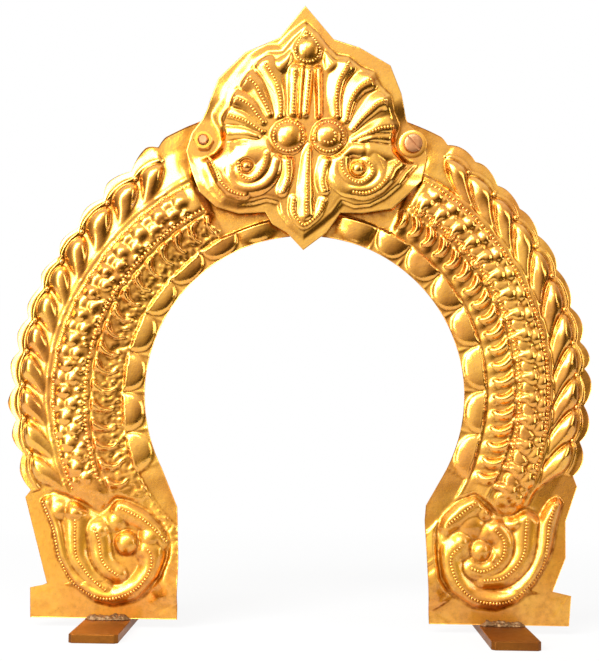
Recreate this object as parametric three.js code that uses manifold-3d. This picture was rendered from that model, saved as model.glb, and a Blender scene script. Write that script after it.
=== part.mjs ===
// Deity aureole (prabhavali): a beaten-brass arch that stands behind a temple image.
// Two arch halves end in leg panels with a beaded volute. Each leg is soldered to a flat bar foot
// that runs forward and backward. The blank top ends of the halves lie behind one palmette crest
// plate, and one screw and nut on each side clamp the three sheets together.
//
// Millimetres. +X to the right, the worked face looks along -Y, +Z up. The origin is on the table,
// in the middle of the width and of the length of the feet.
import * as THREE from 'three';
import { mergeVertices } from 'three/addons/utils/BufferGeometryUtils.js';
import Module from 'manifold-3d';

const wasm = await Module();
wasm.setup();

// Sheets
const archSheet = 0.9;
const crestSheet = 1.0;
const seatGap = 0.3;

// Arch, in polar measure: the angle runs from the top down each side
const openingRadius = 97;
const openingCentreHeight = 142;
const archRadius = 178;
const topEndAngle = 4;
const bandsStartAngle = 28;
const bandsFade = 5;
const scallopDepth = 4.4;

// Each half: x is counted outward from the arch's centre line, z from the table, and the edge's
// [angle, offset] pairs say how far its outer edge wanders off the arch's radius
const halves = {
  left: {
    side: -1,
    edge: [[4, 2], [34, 2], [54, -2], [80, 1], [92, 2.2], [110, 0.6]],
    scallops: { start: 31.5, pitch: 7.14, count: 11, sharpness: 1.3 },
    ridges: [0.143, 0.365, 0.695, 0.905],
    petals: { start: 10, pitch: 13.1, count: 8 },
    leafSection: [[0, 0.1], [0.14, 0.75], [0.38, 1], [0.6, 0.68], [0.72, 0.3], [0.88, 0.42], [1, 0.1]],
    bosses: { start: 33.5, pitch: 6.25 },
    curls: { start: 28, pitch: 5.4 },
    inner: [[75.7, 72.9], [74.1, 41], [74.6, 0]],
    outer: [[168, 77.4], [153.3, 25.6], [163.5, 23.4], [162.7, 0]],
    volute: {
      x: 117,
      z: 48,
      boss: [105.7, 50.8],
      lobes: [
        [[157, 74.7], [146.5, 44.3], [132, 22.8], [108.5, 18.9], [90.6, 35], [92.4, 47.3]],
        [[136.5, 64.1], [130.9, 36], [117.4, 23.1]],
        [[124.2, 59.2], [120.1, 41.9], [110.3, 31.9]],
        [[109.9, 71.7], [91.2, 61.8], [81.6, 52.4]],
      ],
    },
    footOffset: 116,
  },
  right: {
    side: 1,
    edge: [[4, 1], [32, 1.4], [50, -2.4], [75, -3.4], [90, -3.6], [106, -4.4]],
    scallops: { start: 29, pitch: 7, count: 11, sharpness: 2.2 },
    ridges: [0.165, 0.385, 0.695, 0.905],
    petals: { start: 10, pitch: 13.3, count: 8 },
    leafSection: [[0, 0.3], [0.12, 0.82], [0.34, 1], [0.58, 0.74], [0.82, 0.5], [1, 0]],
    bosses: { start: 31.4, pitch: 5.5 },
    curls: { start: 26, pitch: 4.75 },
    inner: [[74.4, 76.3], [73.7, 67.5], [75.5, 36.4], [77.1, 0]],
    outer: [[165.5, 88.8], [158.6, 67.9], [158.7, 46], [151, 26], [162.1, 23.6], [160.4, 0]],
    volute: {
      x: 119,
      z: 48,
      boss: [106.5, 50.2],
      lobes: [
        [[151.6, 79], [146.8, 51.3], [133.8, 26.9], [112.8, 19], [94.2, 29.6], [89.8, 46.8]],
        [[134.8, 68.5], [132.9, 48.1], [119.8, 33.6], [109.5, 32.2]],
        [[116.2, 62.4], [121.1, 47.9], [108.5, 37.6], [101.9, 39.3]],
        [[104, 78.2], [91.8, 68.4], [86.9, 64.7]],
      ],
    },
    footOffset: 121,
  },
};
const innerCurveEndAngle = 118;

// Heights that the bands are beaten out to
const petalHeight = 3.1;
const curlSlope = [1.8, 3.4];
const curlRise = 2.4;
const curlLean = 3.1;
const mouldingHeight = 5.2;
const bossRise = 2.8;
const leafHeight = 5;
const leafLean = 5.4;
const voluteHeight = 2;
const voluteRadius = 37;
const voluteLobeRise = 3.2;
const voluteLobeWidth = 8;
const bossHeight = 5.2;
const bossRadius = 7;

// Feet and solder
const footWidth = 28;
const footThickness = 5;
const footReach = 56;
const footCornerCut = 2;
const solderWidth = 27;
const solderFillet = 3.2;
const solderFloor = 0.3;

// Crest plate: its outline counted from the crest's centre, and the field raised inside its flange
const crestOutline = [
  [-3, 85], [-18.5, 64.8], [-39.4, 55.4], [-55.8, 38.8], [-62.2, 20.5], [-65, 14.9],
  [-72, 5.4], [-75, -5.5], [-71.3, -18.3], [-66.1, -31.2], [-55.8, -40.4], [-41.8, -44.5],
  [-25.5, -43.4], [-21, -50.8], [-12.2, -55.8], [-2, -66.4], [12.1, -55.5], [20.4, -43.2],
  [34.2, -43.1], [52, -40.1], [63.5, -29.4], [69.6, -22.8], [73, -7.8], [70.5, 4.9],
  [62, 12.4], [60, 15.7], [56.7, 30.9], [49.8, 48.4], [30.5, 59.4], [14.7, 64.3],
];
const crestStandoff = 4;
const crestDishRadius = 18;
const crestDishFade = 14;
const crestFlange = 9;
const crestFieldHeight = 2.5;
const crestClearance = 1;
const crestBosses = [
  { x: -11.9, z: 2.6, radius: 11.3, height: 5.4 },
  { x: 12.4, z: 2.8, radius: 11.3, height: 5.4 },
  { x: -1, z: 57.7, radius: 10.2, height: 4.6 },
  { x: 30.4, z: -16.4, radius: 4.6, height: 3.4 },
  { x: -37.4, z: -15.8, radius: 4.2, height: 2.8 },
];
// The palmette's lobes, the strips between them and the scrolls: a path and its half width at
// either end
const crestLobeRise = 3.5;
const crestLobes = [
  { path: [[-26.6, 47], [-19.8, 35.4], [-17.4, 15]], from: 8.8, to: 3.7 },
  { path: [[-37.3, 37.7], [-30, 29.5], [-23.6, 16.6]], from: 8.8, to: 3.4 },
  { path: [[-45.4, 25.7], [-34.9, 20.6], [-27.6, 11.4]], from: 8, to: 3.1 },
  { path: [[-49.2, 15.4], [-35.3, 10.3], [-28.1, 5.7]], from: 7.7, to: 3.1 },
  { path: [[24.4, 49.5], [18.9, 38.5], [17.7, 15.7]], from: 9, to: 3.7 },
  { path: [[37.8, 38.2], [27.7, 29.3], [23.3, 13.7]], from: 9, to: 3.4 },
  { path: [[47.7, 25.9], [36.5, 18.5], [28, 8.6]], from: 8.5, to: 3.1 },
  { path: [[51.9, 10.4], [39.2, 6.6], [26.9, 0.3]], from: 7.7, to: 3.1 },
  { path: [[-8.6, 43.5], [-9.6, 17]], from: 5, to: 3.7 },
  { path: [[0.4, 43.5], [-1.8, 17]], from: 4.3, to: 3.4 },
  { path: [[0.5, -4], [-0.2, -44.6]], from: 3.7, to: 7.7 },
  { path: [[-11.9, -12.5], [-11.3, -18.6], [-14.7, -31]], from: 5.7, to: 4.5 },
  { path: [[11.9, -12.1], [9, -24.5], [10.6, -30.1]], from: 5.7, to: 4.5 },
  { path: [[-42.2, -13.9], [-39.8, -22.1], [-32.6, -23], [-25.2, -8.5]], from: 4.6, to: 6 },
  { path: [[-61.2, -9], [-53, -24.9], [-38.5, -34]], from: 7.1, to: 5.1 },
  { path: [[20.6, -11], [22.7, -19.7], [32, -25.2], [39.3, -19.4], [35.9, -12.3]], from: 6, to: 4 },
  { path: [[55.8, -11.4], [45.2, -26.1], [28, -30.8]], from: 7.4, to: 4.8 },
];

// Screws through the crest's ears and the blank ends of the halves
const screwOffset = 64.2;
const screwEdgeMargin = 11.86;
const screwAboveCrestCentre = 0.6;
const screwDiameter = 6;
const screwHoleClearance = 0.4;
const threadClearance = 0.15;
const screwHeadDiameter = 11.4;
const screwHeadThickness = 3;
const slotWidth = 1.2;
const slotDepth = 1;
const nutAcrossFlats = 11;
const nutThickness = 4.5;
const washerDiameter = 17;
const washerThickness = 0.9;
const screwOverhang = 1.8;

// Fineness of the meshes
const stationsPerScallop = 8;
const legRows = 21;
const blankRows = 6;
const crestRays = 112;
const roundSides = 24;

const brass = new THREE.MeshStandardMaterial({ color: 0xe2ac4c, roughness: 0.32, metalness: 1 });
const footBrass = new THREE.MeshStandardMaterial({ color: 0xb07030, roughness: 0.4, metalness: 1 });
const solder = new THREE.MeshStandardMaterial({ color: 0x8a7868, roughness: 0.6, metalness: 0.8 });
const copper = new THREE.MeshStandardMaterial({ color: 0xb06a3e, roughness: 0.45, metalness: 1 });

const radians = THREE.MathUtils.degToRad;
const { lerp, smoothstep } = THREE.MathUtils;

// Reads a value from a list of [key, value] pairs whose keys rise.
function along(pairs, key) {
  if (key <= pairs[0][0]) return pairs[0][1];
  for (let i = 1; i < pairs.length; i++) {
    const [k0, v0] = pairs[i - 1];
    const [k1, v1] = pairs[i];
    if (key <= k1) return lerp(v0, v1, (key - k0) / (k1 - k0));
  }
  return pairs[pairs.length - 1][1];
}

// The screws sit a margin inside the blank edge, and the crest's centre goes with them.
const blankRadius = archRadius
  + Math.min(...Object.values(halves).map((half) => along(half.edge, 22.5)));
const screwHeight = openingCentreHeight
  + Math.sqrt((blankRadius - screwEdgeMargin) ** 2 - screwOffset ** 2);
const crestCentreHeight = screwHeight - screwAboveCrestCentre;

// The table's points as [z, x] pairs that rise with z, so that x can be read at a height.
function byHeight(points) {
  return points.map(([x, z]) => [z, x]).reverse();
}

function solidOf(geometry) {
  const bare = geometry.clone();
  bare.deleteAttribute('normal');
  bare.deleteAttribute('uv');
  const merged = mergeVertices(bare, 1e-5);
  return new wasm.Manifold(new wasm.Mesh({
    numProp: 3,
    vertProperties: new Float32Array(merged.attributes.position.array),
    triVerts: new Uint32Array(merged.index.array),
  }));
}

function geometryOf(solid) {
  const mesh = solid.getMesh();
  const geometry = new THREE.BufferGeometry();
  geometry.setAttribute('position', new THREE.BufferAttribute(mesh.vertProperties, 3));
  geometry.setIndex(new THREE.BufferAttribute(mesh.triVerts, 1));
  return geometry;
}

// A round bar along Y from the front level to the back level.
function roundBar(diameter, front, back, x, z) {
  const bar = new THREE.CylinderGeometry(diameter / 2, diameter / 2, back - front, roundSides);
  bar.translate(x, (front + back) / 2, z);
  return bar;
}

// The arch

const sheetFoot = footThickness + solderFloor + seatGap;

function edgeRadius(half, angle) {
  const { start, pitch, count, sharpness } = half.scallops;
  const step = (angle - start) / pitch;
  const reach = archRadius + along(half.edge, angle);
  if (step <= 0 || step >= count) return reach - (step <= 0 ? 0 : scallopDepth);
  const fromPeak = Math.abs(2 * (step - Math.floor(step)) - 1);
  return reach - scallopDepth * fromPeak ** sharpness;
}

// How far a value is across the motif that it falls in.
function across(value, { start, pitch }) {
  const step = (value - start) / pitch;
  return step - Math.floor(step);
}

// One petal is half an ellipse that hangs from its line towards the opening.
function petalRelief(half, angle, inward) {
  const { start, pitch, count } = half.petals;
  if (angle <= start || angle >= start + pitch * count) return 0;
  const sideways = Math.abs(2 * across(angle, half.petals) - 1);
  return petalHeight * Math.max(0, 1 - sideways ** 2.2 - inward ** 2.2) ** 0.55;
}

// Crescents lean across their band, with a slope up to each.
function curlRelief(half, angle, v) {
  const lean = curlLean * (1 - (2 * v - 1) ** 2);
  const turn = across(angle - lean, half.curls);
  const crest = Math.max(0, 1 - (Math.min(turn, 1 - turn) / 0.42) ** 2);
  return lerp(...curlSlope, v) + curlRise * crest * Math.sin(Math.PI * Math.min(1, v + 0.1));
}

// A rounded moulding with a pear-shaped boss at each step.
function mouldingRelief(half, angle, v) {
  const base = lerp(curlSlope[1], mouldingHeight, Math.sin(Math.PI * v) ** 0.8);
  const turn = across(angle, half.bosses);
  const shift = v < 0.5 ? Math.min(turn, 1 - turn) : Math.abs(turn - 0.5);
  const wide = v < 0.5 ? 0.32 : 0.46;
  const far = v < 0.5 ? Math.max(0, 0.47 - v) / 0.4 : Math.abs(v - 0.67) / 0.17;
  return base + bossRise * Math.max(0, 1 - (shift / wide) ** 2 - far ** 2) ** 0.6;
}

// Leaves lean over, each with a round head and a keel nearer to one side.
function leafRelief(half, angle, v) {
  const turn = across(angle - leafLean * (1 - v) ** 2, half.scallops);
  const head = 1 - 0.17 * Math.abs(2 * turn - 1) ** 2.4;
  const fall = Math.min(1, Math.max(0, (v - 0.52) / (head - 0.52)));
  const swell = Math.min(1, (v + 0.1) / 0.5) ** 0.6;
  return leafHeight * along(half.leafSection, turn) * swell * (1 - fall ** 2.2) ** 0.55;
}

// Height of the beaten bands at an angle, where v runs from the opening's edge to the outer edge.
function bandRelief(half, angle, v) {
  const [petalEnd, curlEnd, mouldingEnd, leafEnd] = half.ridges;
  if (v < petalEnd) return petalRelief(half, angle, 1 - v / petalEnd);
  const start = smoothstep(angle, bandsStartAngle, bandsStartAngle + bandsFade);
  if (v < curlEnd) return start * curlRelief(half, angle, (v - petalEnd) / (curlEnd - petalEnd));
  if (v < mouldingEnd) {
    return start * mouldingRelief(half, angle, (v - curlEnd) / (mouldingEnd - curlEnd));
  }
  if (v >= leafEnd) return 0;
  return start * leafRelief(half, angle, (v - mouldingEnd) / (leafEnd - mouldingEnd));
}

// Distance from a point to a path, and the share of the path passed there.
function toPath(x, z, path) {
  let distance = Infinity;
  let share = 0;
  for (let i = 1; i < path.length; i++) {
    const [x0, z0] = path[i - 1];
    const [ex, ez] = [path[i][0] - x0, path[i][1] - z0];
    const t = ((x - x0) * ex + (z - z0) * ez) / (ex ** 2 + ez ** 2);
    const passed = Math.min(1, Math.max(0, t));
    const apart = Math.hypot(x - x0 - passed * ex, z - z0 - passed * ez);
    if (apart < distance) {
      distance = apart;
      share = (i - 1 + passed) / (path.length - 1);
    }
  }
  return [distance, share];
}

// The volute is a low mound with rounded lobes that curl about a boss.
function voluteRelief(half, x, z) {
  const { x: cx, z: cz, boss, lobes } = half.volute;
  const out = Math.hypot(x - cx, z - cz) / voluteRadius;
  const mound = voluteHeight * (1 - smoothstep(out, 0.85, 1));
  let raised = 0;
  for (const path of lobes) {
    const [distance] = toPath(x, z, path);
    const section = Math.max(0, 1 - (distance / voluteLobeWidth) ** 2) ** 0.85;
    raised = Math.max(raised, voluteLobeRise * section);
  }
  const ring = Math.hypot(x - boss[0], z - boss[1]) / bossRadius;
  if (ring < 1) raised = Math.max(raised, bossHeight * Math.sqrt(1 - ring ** 2));
  return (mound + raised) * smoothstep(z, sheetFoot + 4, sheetFoot + 12);
}

// Across stations: the opening's edge, the ridges between bands, and points inside each band.
function acrossStations(half) {
  const [a, b, c, d] = half.ridges;
  const inside = (from, to, shares) => shares.map((share) => lerp(from, to, share));
  return [
    0, a * 0.15, a * 0.5, a * 0.9, ...inside(a, b, [0.04, 0.35, 0.7]),
    ...inside(b, c, [0, 0.2, 0.4, 0.56, 0.7, 0.88]), ...inside(c, d, [0, 0.22, 0.5, 0.75, 0.93]),
    d, 1,
  ];
}

// Nothing may reach the crest's back: relief ends under it and rises again beside it.
function clearOfCrest(half, x, z, height) {
  const angle = Math.atan2(half.side * x, z - crestCentreHeight);
  const outside = Math.hypot(x, z - crestCentreHeight) - outlineRadius(angle);
  const limit = crestStand(x, z) - seatGap - crestClearance + 0.8 * Math.max(0, outside - 2);
  return Math.max(0, Math.min(height, limit));
}

function arcRow(half, angle, stations) {
  const outer = edgeRadius(half, angle);
  const whole = archRadius + along(half.edge, angle);
  return stations.map((v) => {
    const flat = openingRadius + v * (whole - openingRadius);
    const radius = v === 1 ? outer : Math.min(flat, outer);
    const x = radius * Math.sin(radians(angle));
    const z = openingCentreHeight + radius * Math.cos(radians(angle));
    return { x, z, height: clearOfCrest(half, x, z, bandRelief(half, angle, v)) };
  });
}

// A leg row runs straight from the inner edge to the outer edge, and levels out towards the foot.
function legRow(half, share, stations, lastAngle) {
  const cos = Math.cos(radians(lastAngle));
  const innerTop = openingCentreHeight + openingRadius * cos;
  const outerTop = openingCentreHeight + edgeRadius(half, lastAngle) * cos;
  const zIn = lerp(innerTop, sheetFoot, share);
  const zOut = lerp(outerTop, sheetFoot, share);
  const curveEnd = openingCentreHeight + openingRadius * Math.cos(radians(innerCurveEndAngle));
  const curveEndX = openingRadius * Math.sin(radians(innerCurveEndAngle));
  const xIn = zIn > curveEnd
    ? Math.sqrt(openingRadius ** 2 - (zIn - openingCentreHeight) ** 2)
    : along([...byHeight(half.inner), [curveEnd, curveEndX]], zIn);
  const topX = edgeRadius(half, lastAngle) * Math.sin(radians(lastAngle));
  const xOut = along([...byHeight(half.outer), [outerTop, topX]], zOut);
  const fade = 1 - smoothstep(share, 0.1, 0.35);
  return stations.map((v) => {
    const x = lerp(xIn, xOut, v);
    const z = lerp(zIn, zOut, v);
    const bands = fade * bandRelief(half, lastAngle, v);
    return { x, z, height: Math.max(bands, voluteRelief(half, x, z)) };
  });
}

// Leg rows are even, with two more on the corners of the notch above the foot.
function legShares(half, lastAngle) {
  const reach = edgeRadius(half, lastAngle) * Math.cos(radians(lastAngle));
  const outerTop = openingCentreHeight + reach;
  const shares = [];
  for (let row = 1; row <= legRows; row++) shares.push(row / legRows);
  const notch = half.outer.slice(-3, -1);
  for (const [, z] of notch) {
    const share = (outerTop - z) / (outerTop - sheetFoot);
    let nearest = 0;
    shares.forEach((value, i) => {
      if (Math.abs(value - share) < Math.abs(shares[nearest] - share)) nearest = i;
    });
    if (nearest < legRows - 1) shares[nearest] = share;
  }
  return [...new Set(shares)].sort((a, b) => a - b);
}

function halfRows(half) {
  const stations = acrossStations(half);
  const { start, pitch, count } = half.scallops;
  const rows = [];
  for (let i = 0; i <= blankRows; i++) {
    rows.push(arcRow(half, lerp(topEndAngle, bandsStartAngle, i / blankRows), stations));
  }
  const steps = count * stationsPerScallop;
  for (let i = 0; i <= steps; i++) {
    rows.push(arcRow(half, start + (pitch * i) / stationsPerScallop, stations));
  }
  const lastAngle = start + pitch * count;
  for (const share of legShares(half, lastAngle)) {
    rows.push(legRow(half, share, stations, lastAngle));
  }
  return rows;
}

// A sheet from rows of points: the front skin stands one sheet's thickness before the back skin.
function sheetFromRows(rows, thickness, side) {
  const columns = rows[0].length;
  const positions = [];
  for (const row of rows) {
    for (const p of row) {
      positions.push(side * p.x, -p.height - thickness, p.z, side * p.x, -p.height, p.z);
    }
  }
  const front = (i, j) => 2 * (i * columns + j);
  const back = (i, j) => front(i, j) + 1;
  const faces = [];
  const quad = (a, b, c, d) => {
    if (side > 0) faces.push(a, b, c, a, c, d);
    else faces.push(a, c, b, a, d, c);
  };
  const last = rows.length - 1;
  for (let i = 0; i < last; i++) {
    for (let j = 0; j < columns - 1; j++) {
      quad(front(i, j), front(i + 1, j), front(i + 1, j + 1), front(i, j + 1));
      quad(back(i, j), back(i, j + 1), back(i + 1, j + 1), back(i + 1, j));
    }
    quad(front(i, 0), back(i, 0), back(i + 1, 0), front(i + 1, 0));
    const edge = columns - 1;
    quad(front(i, edge), front(i + 1, edge), back(i + 1, edge), back(i, edge));
  }
  for (let j = 0; j < columns - 1; j++) {
    quad(front(0, j), front(0, j + 1), back(0, j + 1), back(0, j));
    quad(front(last, j), back(last, j), back(last, j + 1), front(last, j + 1));
  }
  const geometry = new THREE.BufferGeometry();
  geometry.setAttribute('position', new THREE.Float32BufferAttribute(positions, 3));
  geometry.setIndex(faces);
  return geometry;
}

function screwHole(side) {
  const reach = 30;
  const diameter = screwDiameter + 2 * screwHoleClearance;
  return solidOf(roundBar(diameter, -reach, reach, side * screwOffset, screwHeight));
}

function archHalf(half) {
  const sheet = solidOf(sheetFromRows(halfRows(half), archSheet, half.side));
  return geometryOf(sheet.subtract(screwHole(half.side)));
}

// The crest

function outlineRadius(angle) {
  const direction = [Math.sin(angle), Math.cos(angle)];
  let reach = 0;
  crestOutline.forEach(([x0, z0], i) => {
    const [x1, z1] = crestOutline[(i + 1) % crestOutline.length];
    const [ex, ez] = [x1 - x0, z1 - z0];
    const cross = direction[0] * ez - direction[1] * ex;
    if (Math.abs(cross) < 1e-9) return;
    const t = (x0 * ez - z0 * ex) / cross;
    const s = (x0 * direction[1] - z0 * direction[0]) / cross;
    if (t > 0 && s >= -1e-9 && s <= 1 + 1e-9) reach = Math.max(reach, t);
  });
  return reach;
}

// Rays at even angles, each moved to the nearest corner of the outline where one is close.
function crestAngles() {
  const step = (2 * Math.PI) / crestRays;
  const angles = Array.from({ length: crestRays }, (_, i) => i * step - Math.PI);
  for (const [x, z] of crestOutline) {
    const corner = Math.atan2(x, z);
    const nearest = Math.round((corner + Math.PI) / step) % crestRays;
    angles[nearest] = nearest === 0 && corner > 0 ? corner - 2 * Math.PI : corner;
  }
  return angles;
}

function screwDistance(x, z) {
  return Math.min(...[-1, 1].map((s) => Math.hypot(x - s * screwOffset, z - screwHeight)));
}

// How far the crest's back stands off the arch: little at the screws, more elsewhere.
function crestStand(x, z) {
  const free = smoothstep(screwDistance(x, z), crestDishRadius, crestDishRadius + crestDishFade);
  return seatGap + crestStandoff * free;
}

function crestRelief(x, z, inward) {
  const clear = smoothstep(screwDistance(x, z), crestDishRadius, crestDishRadius + 6);
  const field = smoothstep(inward, crestFlange - 2, crestFlange + 2);
  const up = z - crestCentreHeight;
  let raised = 0;
  for (const { path, from, to } of crestLobes) {
    const [distance, share] = toPath(x, up, path);
    const section = Math.max(0, 1 - (distance / lerp(from, to, share)) ** 2) ** 0.9;
    raised = Math.max(raised, crestLobeRise * section);
  }
  for (const boss of crestBosses) {
    const out = Math.hypot(x - boss.x, up - boss.z) / boss.radius;
    if (out < 1) raised = Math.max(raised, boss.height * Math.sqrt(1 - out ** 2));
  }
  return clear * field * (crestFieldHeight + raised);
}

function crestPlate() {
  const rings = [0.09, 0.18, 0.27, 0.36, 0.45, 0.54, 0.63, 0.71, 0.78, 0.84, 0.9, 1];
  const angles = crestAngles();
  const positions = [];
  const add = (x, z, inward) => {
    const back = -archSheet - crestStand(x, z) - crestRelief(x, z, inward);
    positions.push(x, back - crestSheet, z, x, back, z);
  };
  add(0, crestCentreHeight, openingRadius);
  for (const ring of rings) {
    for (const angle of angles) {
      const reach = outlineRadius(angle);
      const radius = ring * reach;
      const x = radius * Math.sin(angle);
      add(x, crestCentreHeight + radius * Math.cos(angle), reach - radius);
    }
  }
  const front = (m, k) => 2 * (1 + m * crestRays + (k % crestRays));
  const back = (m, k) => front(m, k) + 1;
  const faces = [];
  const quad = (a, b, c, d) => faces.push(a, b, c, a, c, d);
  const rim = rings.length - 1;
  for (let k = 0; k < crestRays; k++) {
    faces.push(0, front(0, k + 1), front(0, k), 1, back(0, k), back(0, k + 1));
    for (let m = 0; m < rim; m++) {
      quad(front(m, k), front(m, k + 1), front(m + 1, k + 1), front(m + 1, k));
      quad(back(m, k), back(m + 1, k), back(m + 1, k + 1), back(m, k + 1));
    }
    quad(front(rim, k), front(rim, k + 1), back(rim, k + 1), back(rim, k));
  }
  const geometry = new THREE.BufferGeometry();
  geometry.setAttribute('position', new THREE.Float32BufferAttribute(positions, 3));
  geometry.setIndex(faces);
  const holes = screwHole(-1).add(screwHole(1));
  return geometryOf(solidOf(geometry).subtract(holes));
}

// Feet and solder

function footBar(half) {
  const w = footWidth / 2;
  const c = footCornerCut;
  const plan = new THREE.Shape([
    [-w, -footReach + c], [-w + c, -footReach], [w - c, -footReach], [w, -footReach + c],
    [w, footReach - c], [w - c, footReach], [-w + c, footReach], [-w, footReach - c],
  ].map(([x, y]) => new THREE.Vector2(x, y)));
  const bar = new THREE.ExtrudeGeometry(plan, { depth: footThickness, bevelEnabled: false });
  return bar.translate(half.side * half.footOffset, 0, 0);
}

// The solder fills the corner before and behind the sheet and runs under its lower edge.
function solderSeam(half) {
  const frontFace = -archSheet - seatGap;
  const profile = new THREE.Shape([
    [frontFace - solderFillet, 0], [seatGap + solderFillet, 0], [seatGap, solderFillet],
    [seatGap, solderFloor], [frontFace, solderFloor], [frontFace, solderFillet],
  ].map(([y, z]) => new THREE.Vector2(y, z)));
  const seam = new THREE.ExtrudeGeometry(profile, { depth: solderWidth, bevelEnabled: false });
  seam.rotateX(Math.PI / 2).rotateZ(Math.PI / 2);
  return seam.translate(half.side * half.footOffset - solderWidth / 2, 0, footThickness);
}

// Screws, nuts and washers: the levels of the clamped stack, from the back to the front

const washerBack = seatGap + washerThickness;
const headBack = washerBack + seatGap;
const crestFront = -archSheet - seatGap - crestSheet;
const frontSeat = crestFront - seatGap;

function washer(half, back) {
  const x = half.side * screwOffset;
  const front = back - washerThickness;
  const disc = solidOf(roundBar(washerDiameter, front, back, x, screwHeight));
  const bore = screwDiameter + 2 * screwHoleClearance;
  return geometryOf(disc.subtract(solidOf(roundBar(bore, front - 1, back + 1, x, screwHeight))));
}

function nut(half, front) {
  const x = half.side * screwOffset;
  const corner = nutAcrossFlats / 2 / Math.cos(Math.PI / 6);
  const body = new THREE.CylinderGeometry(corner, corner, nutThickness, 6);
  body.translate(x, front + nutThickness / 2, screwHeight);
  const bore = roundBar(
    screwDiameter + 2 * threadClearance, front - 1, front + nutThickness + 1, x, screwHeight,
  );
  return geometryOf(solidOf(body).subtract(solidOf(bore)));
}

// A screw with its head at one end of the shank; slotted where the head is in front.
function screw(half, headFrom, headTo, shankFrom, shankTo, slotted) {
  const x = half.side * screwOffset;
  const head = solidOf(roundBar(screwHeadDiameter, headFrom, headTo, x, screwHeight));
  const shank = solidOf(roundBar(screwDiameter, shankFrom, shankTo, x, screwHeight));
  let body = head.add(shank);
  if (slotted) {
    const slot = new THREE.BoxGeometry(screwHeadDiameter + 1, 2 * slotDepth, slotWidth);
    slot.rotateY(radians(50)).translate(x, headFrom, screwHeight);
    body = body.subtract(solidOf(slot));
  }
  return geometryOf(body);
}

function leftScrew(half) {
  const tip = frontSeat - nutThickness - screwOverhang;
  return screw(half, headBack, headBack + screwHeadThickness, tip, headBack + 1, false);
}

function rightScrew(half) {
  const seat = frontSeat - washerThickness - seatGap;
  const tip = seatGap + nutThickness + screwOverhang;
  return screw(half, seat - screwHeadThickness, seat, seat - 1, tip, true);
}

// The assembly

const { left, right } = halves;
const aureole = new THREE.Group();

function place(name, geometry, material) {
  const mesh = new THREE.Mesh(geometry, material);
  mesh.name = name;
  aureole.add(mesh);
}

place('crest_plate', crestPlate(), brass);
for (const [name, half] of Object.entries(halves)) {
  place(`arch_${name}`, archHalf(half), brass);
  place(`foot_bar_${name}`, footBar(half), footBrass);
  place(`solder_seam_${name}`, solderSeam(half), solder);
}
place('screw_left', leftScrew(left), copper);
place('nut_left', nut(left, frontSeat - nutThickness), brass);
place('washer_left', washer(left, washerBack), brass);
place('screw_right', rightScrew(right), copper);
place('washer_right', washer(right, frontSeat), brass);
place('nut_right', nut(right, seatGap), brass);

// The wider half would carry the middle of the width off the centre line, so all is moved back.
const widest = (half) => Math.max(
  ...halfRows(half).flat().map((p) => p.x),
);
aureole.position.x = (widest(left) - widest(right)) / 2;

export default aureole;
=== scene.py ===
"""Deity aureole in beaten brass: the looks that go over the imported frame."""
import math

import bpy
import numpy as np
from bpy.props import FloatProperty, FloatVectorProperty, PointerProperty
from mathutils import Matrix, Vector


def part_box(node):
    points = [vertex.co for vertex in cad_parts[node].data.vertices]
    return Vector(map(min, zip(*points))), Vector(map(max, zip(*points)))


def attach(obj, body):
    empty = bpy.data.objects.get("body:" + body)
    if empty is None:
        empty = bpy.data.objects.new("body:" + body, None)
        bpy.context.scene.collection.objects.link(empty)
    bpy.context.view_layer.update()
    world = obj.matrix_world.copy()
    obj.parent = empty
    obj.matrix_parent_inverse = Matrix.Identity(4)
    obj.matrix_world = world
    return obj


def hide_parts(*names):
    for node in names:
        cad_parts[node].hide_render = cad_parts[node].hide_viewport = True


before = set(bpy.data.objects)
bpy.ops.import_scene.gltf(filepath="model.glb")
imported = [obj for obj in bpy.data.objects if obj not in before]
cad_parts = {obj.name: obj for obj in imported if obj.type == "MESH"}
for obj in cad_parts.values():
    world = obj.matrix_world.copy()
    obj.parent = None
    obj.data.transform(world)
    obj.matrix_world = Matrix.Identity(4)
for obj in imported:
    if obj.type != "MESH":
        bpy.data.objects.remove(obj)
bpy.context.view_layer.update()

bl_info = {
    "name": "Temple aureole",
    "version": (1, 0, 0),
    "blender": (4, 5, 0),
    "location": "View3D > Sidebar > Aureole",
    "description": "Builds a beaten brass arch with its crest, feet and screws",
    "category": "Object",
}

# Sizes here are in millimetres. Outward is counted from the arch's centre line, up from the table.
MM = 0.001

# Places taken from the frame or shared with it
OPENING_RADIUS = 97.0
CENTRE_Z = 142.0
FOOT_OFFSET = 116
ARCH_X = (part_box("foot_bar_left")[0].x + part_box("foot_bar_left")[1].x) / 2 / MM + FOOT_OFFSET
SHEET_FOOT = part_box("arch_left")[0].z / MM
CREST_CENTRE_Z = 296.0
SCREW_X = 64.2
SCREW_Z = (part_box("screw_left")[0].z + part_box("screw_left")[1].z) / 2 / MM
SEAT_GAP = 0.3
INNER_CURVE_END = 118.0
TOP_ANGLE = 4.0

# The lines between the bands from the opening outward, and the depth of each band on its grid
BAND_LINES = ("petal_line", "curl_line", "boss_line", "head_line")
BAND_DEPTHS = (14, 16.5, 23.5, 17, 7.5)

# Spacing of the sheets' points where the fineness is 1: in degrees, millimetres and counts
BLANK_STEP = 2.2
BAND_STEP = 0.42
LEG_STEP = 1.08
CREST_RAYS = 192
CREST_RINGS = 34

# Heights of the relief over the blank sheet
PETAL_RISE = 3.1
PETAL_RIM = 0.4
PETAL_GROUND = 0.3
CURL_GROUND = 1.6
CURL_SLOPE = 2.0
CRESCENT_RISE = 2.8
MOULD_GROUND = 3.4
MOUND_RISE = 2.4
CREST_STAND = 4.0

# Widths of the chased lines, and of a crescent on its outer and its hollow side
LINE_WIDTH = 0.6
CRESCENT_WIDTH = 4.0
CRESCENT_HOLLOW_WIDTH = 1.8

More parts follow.
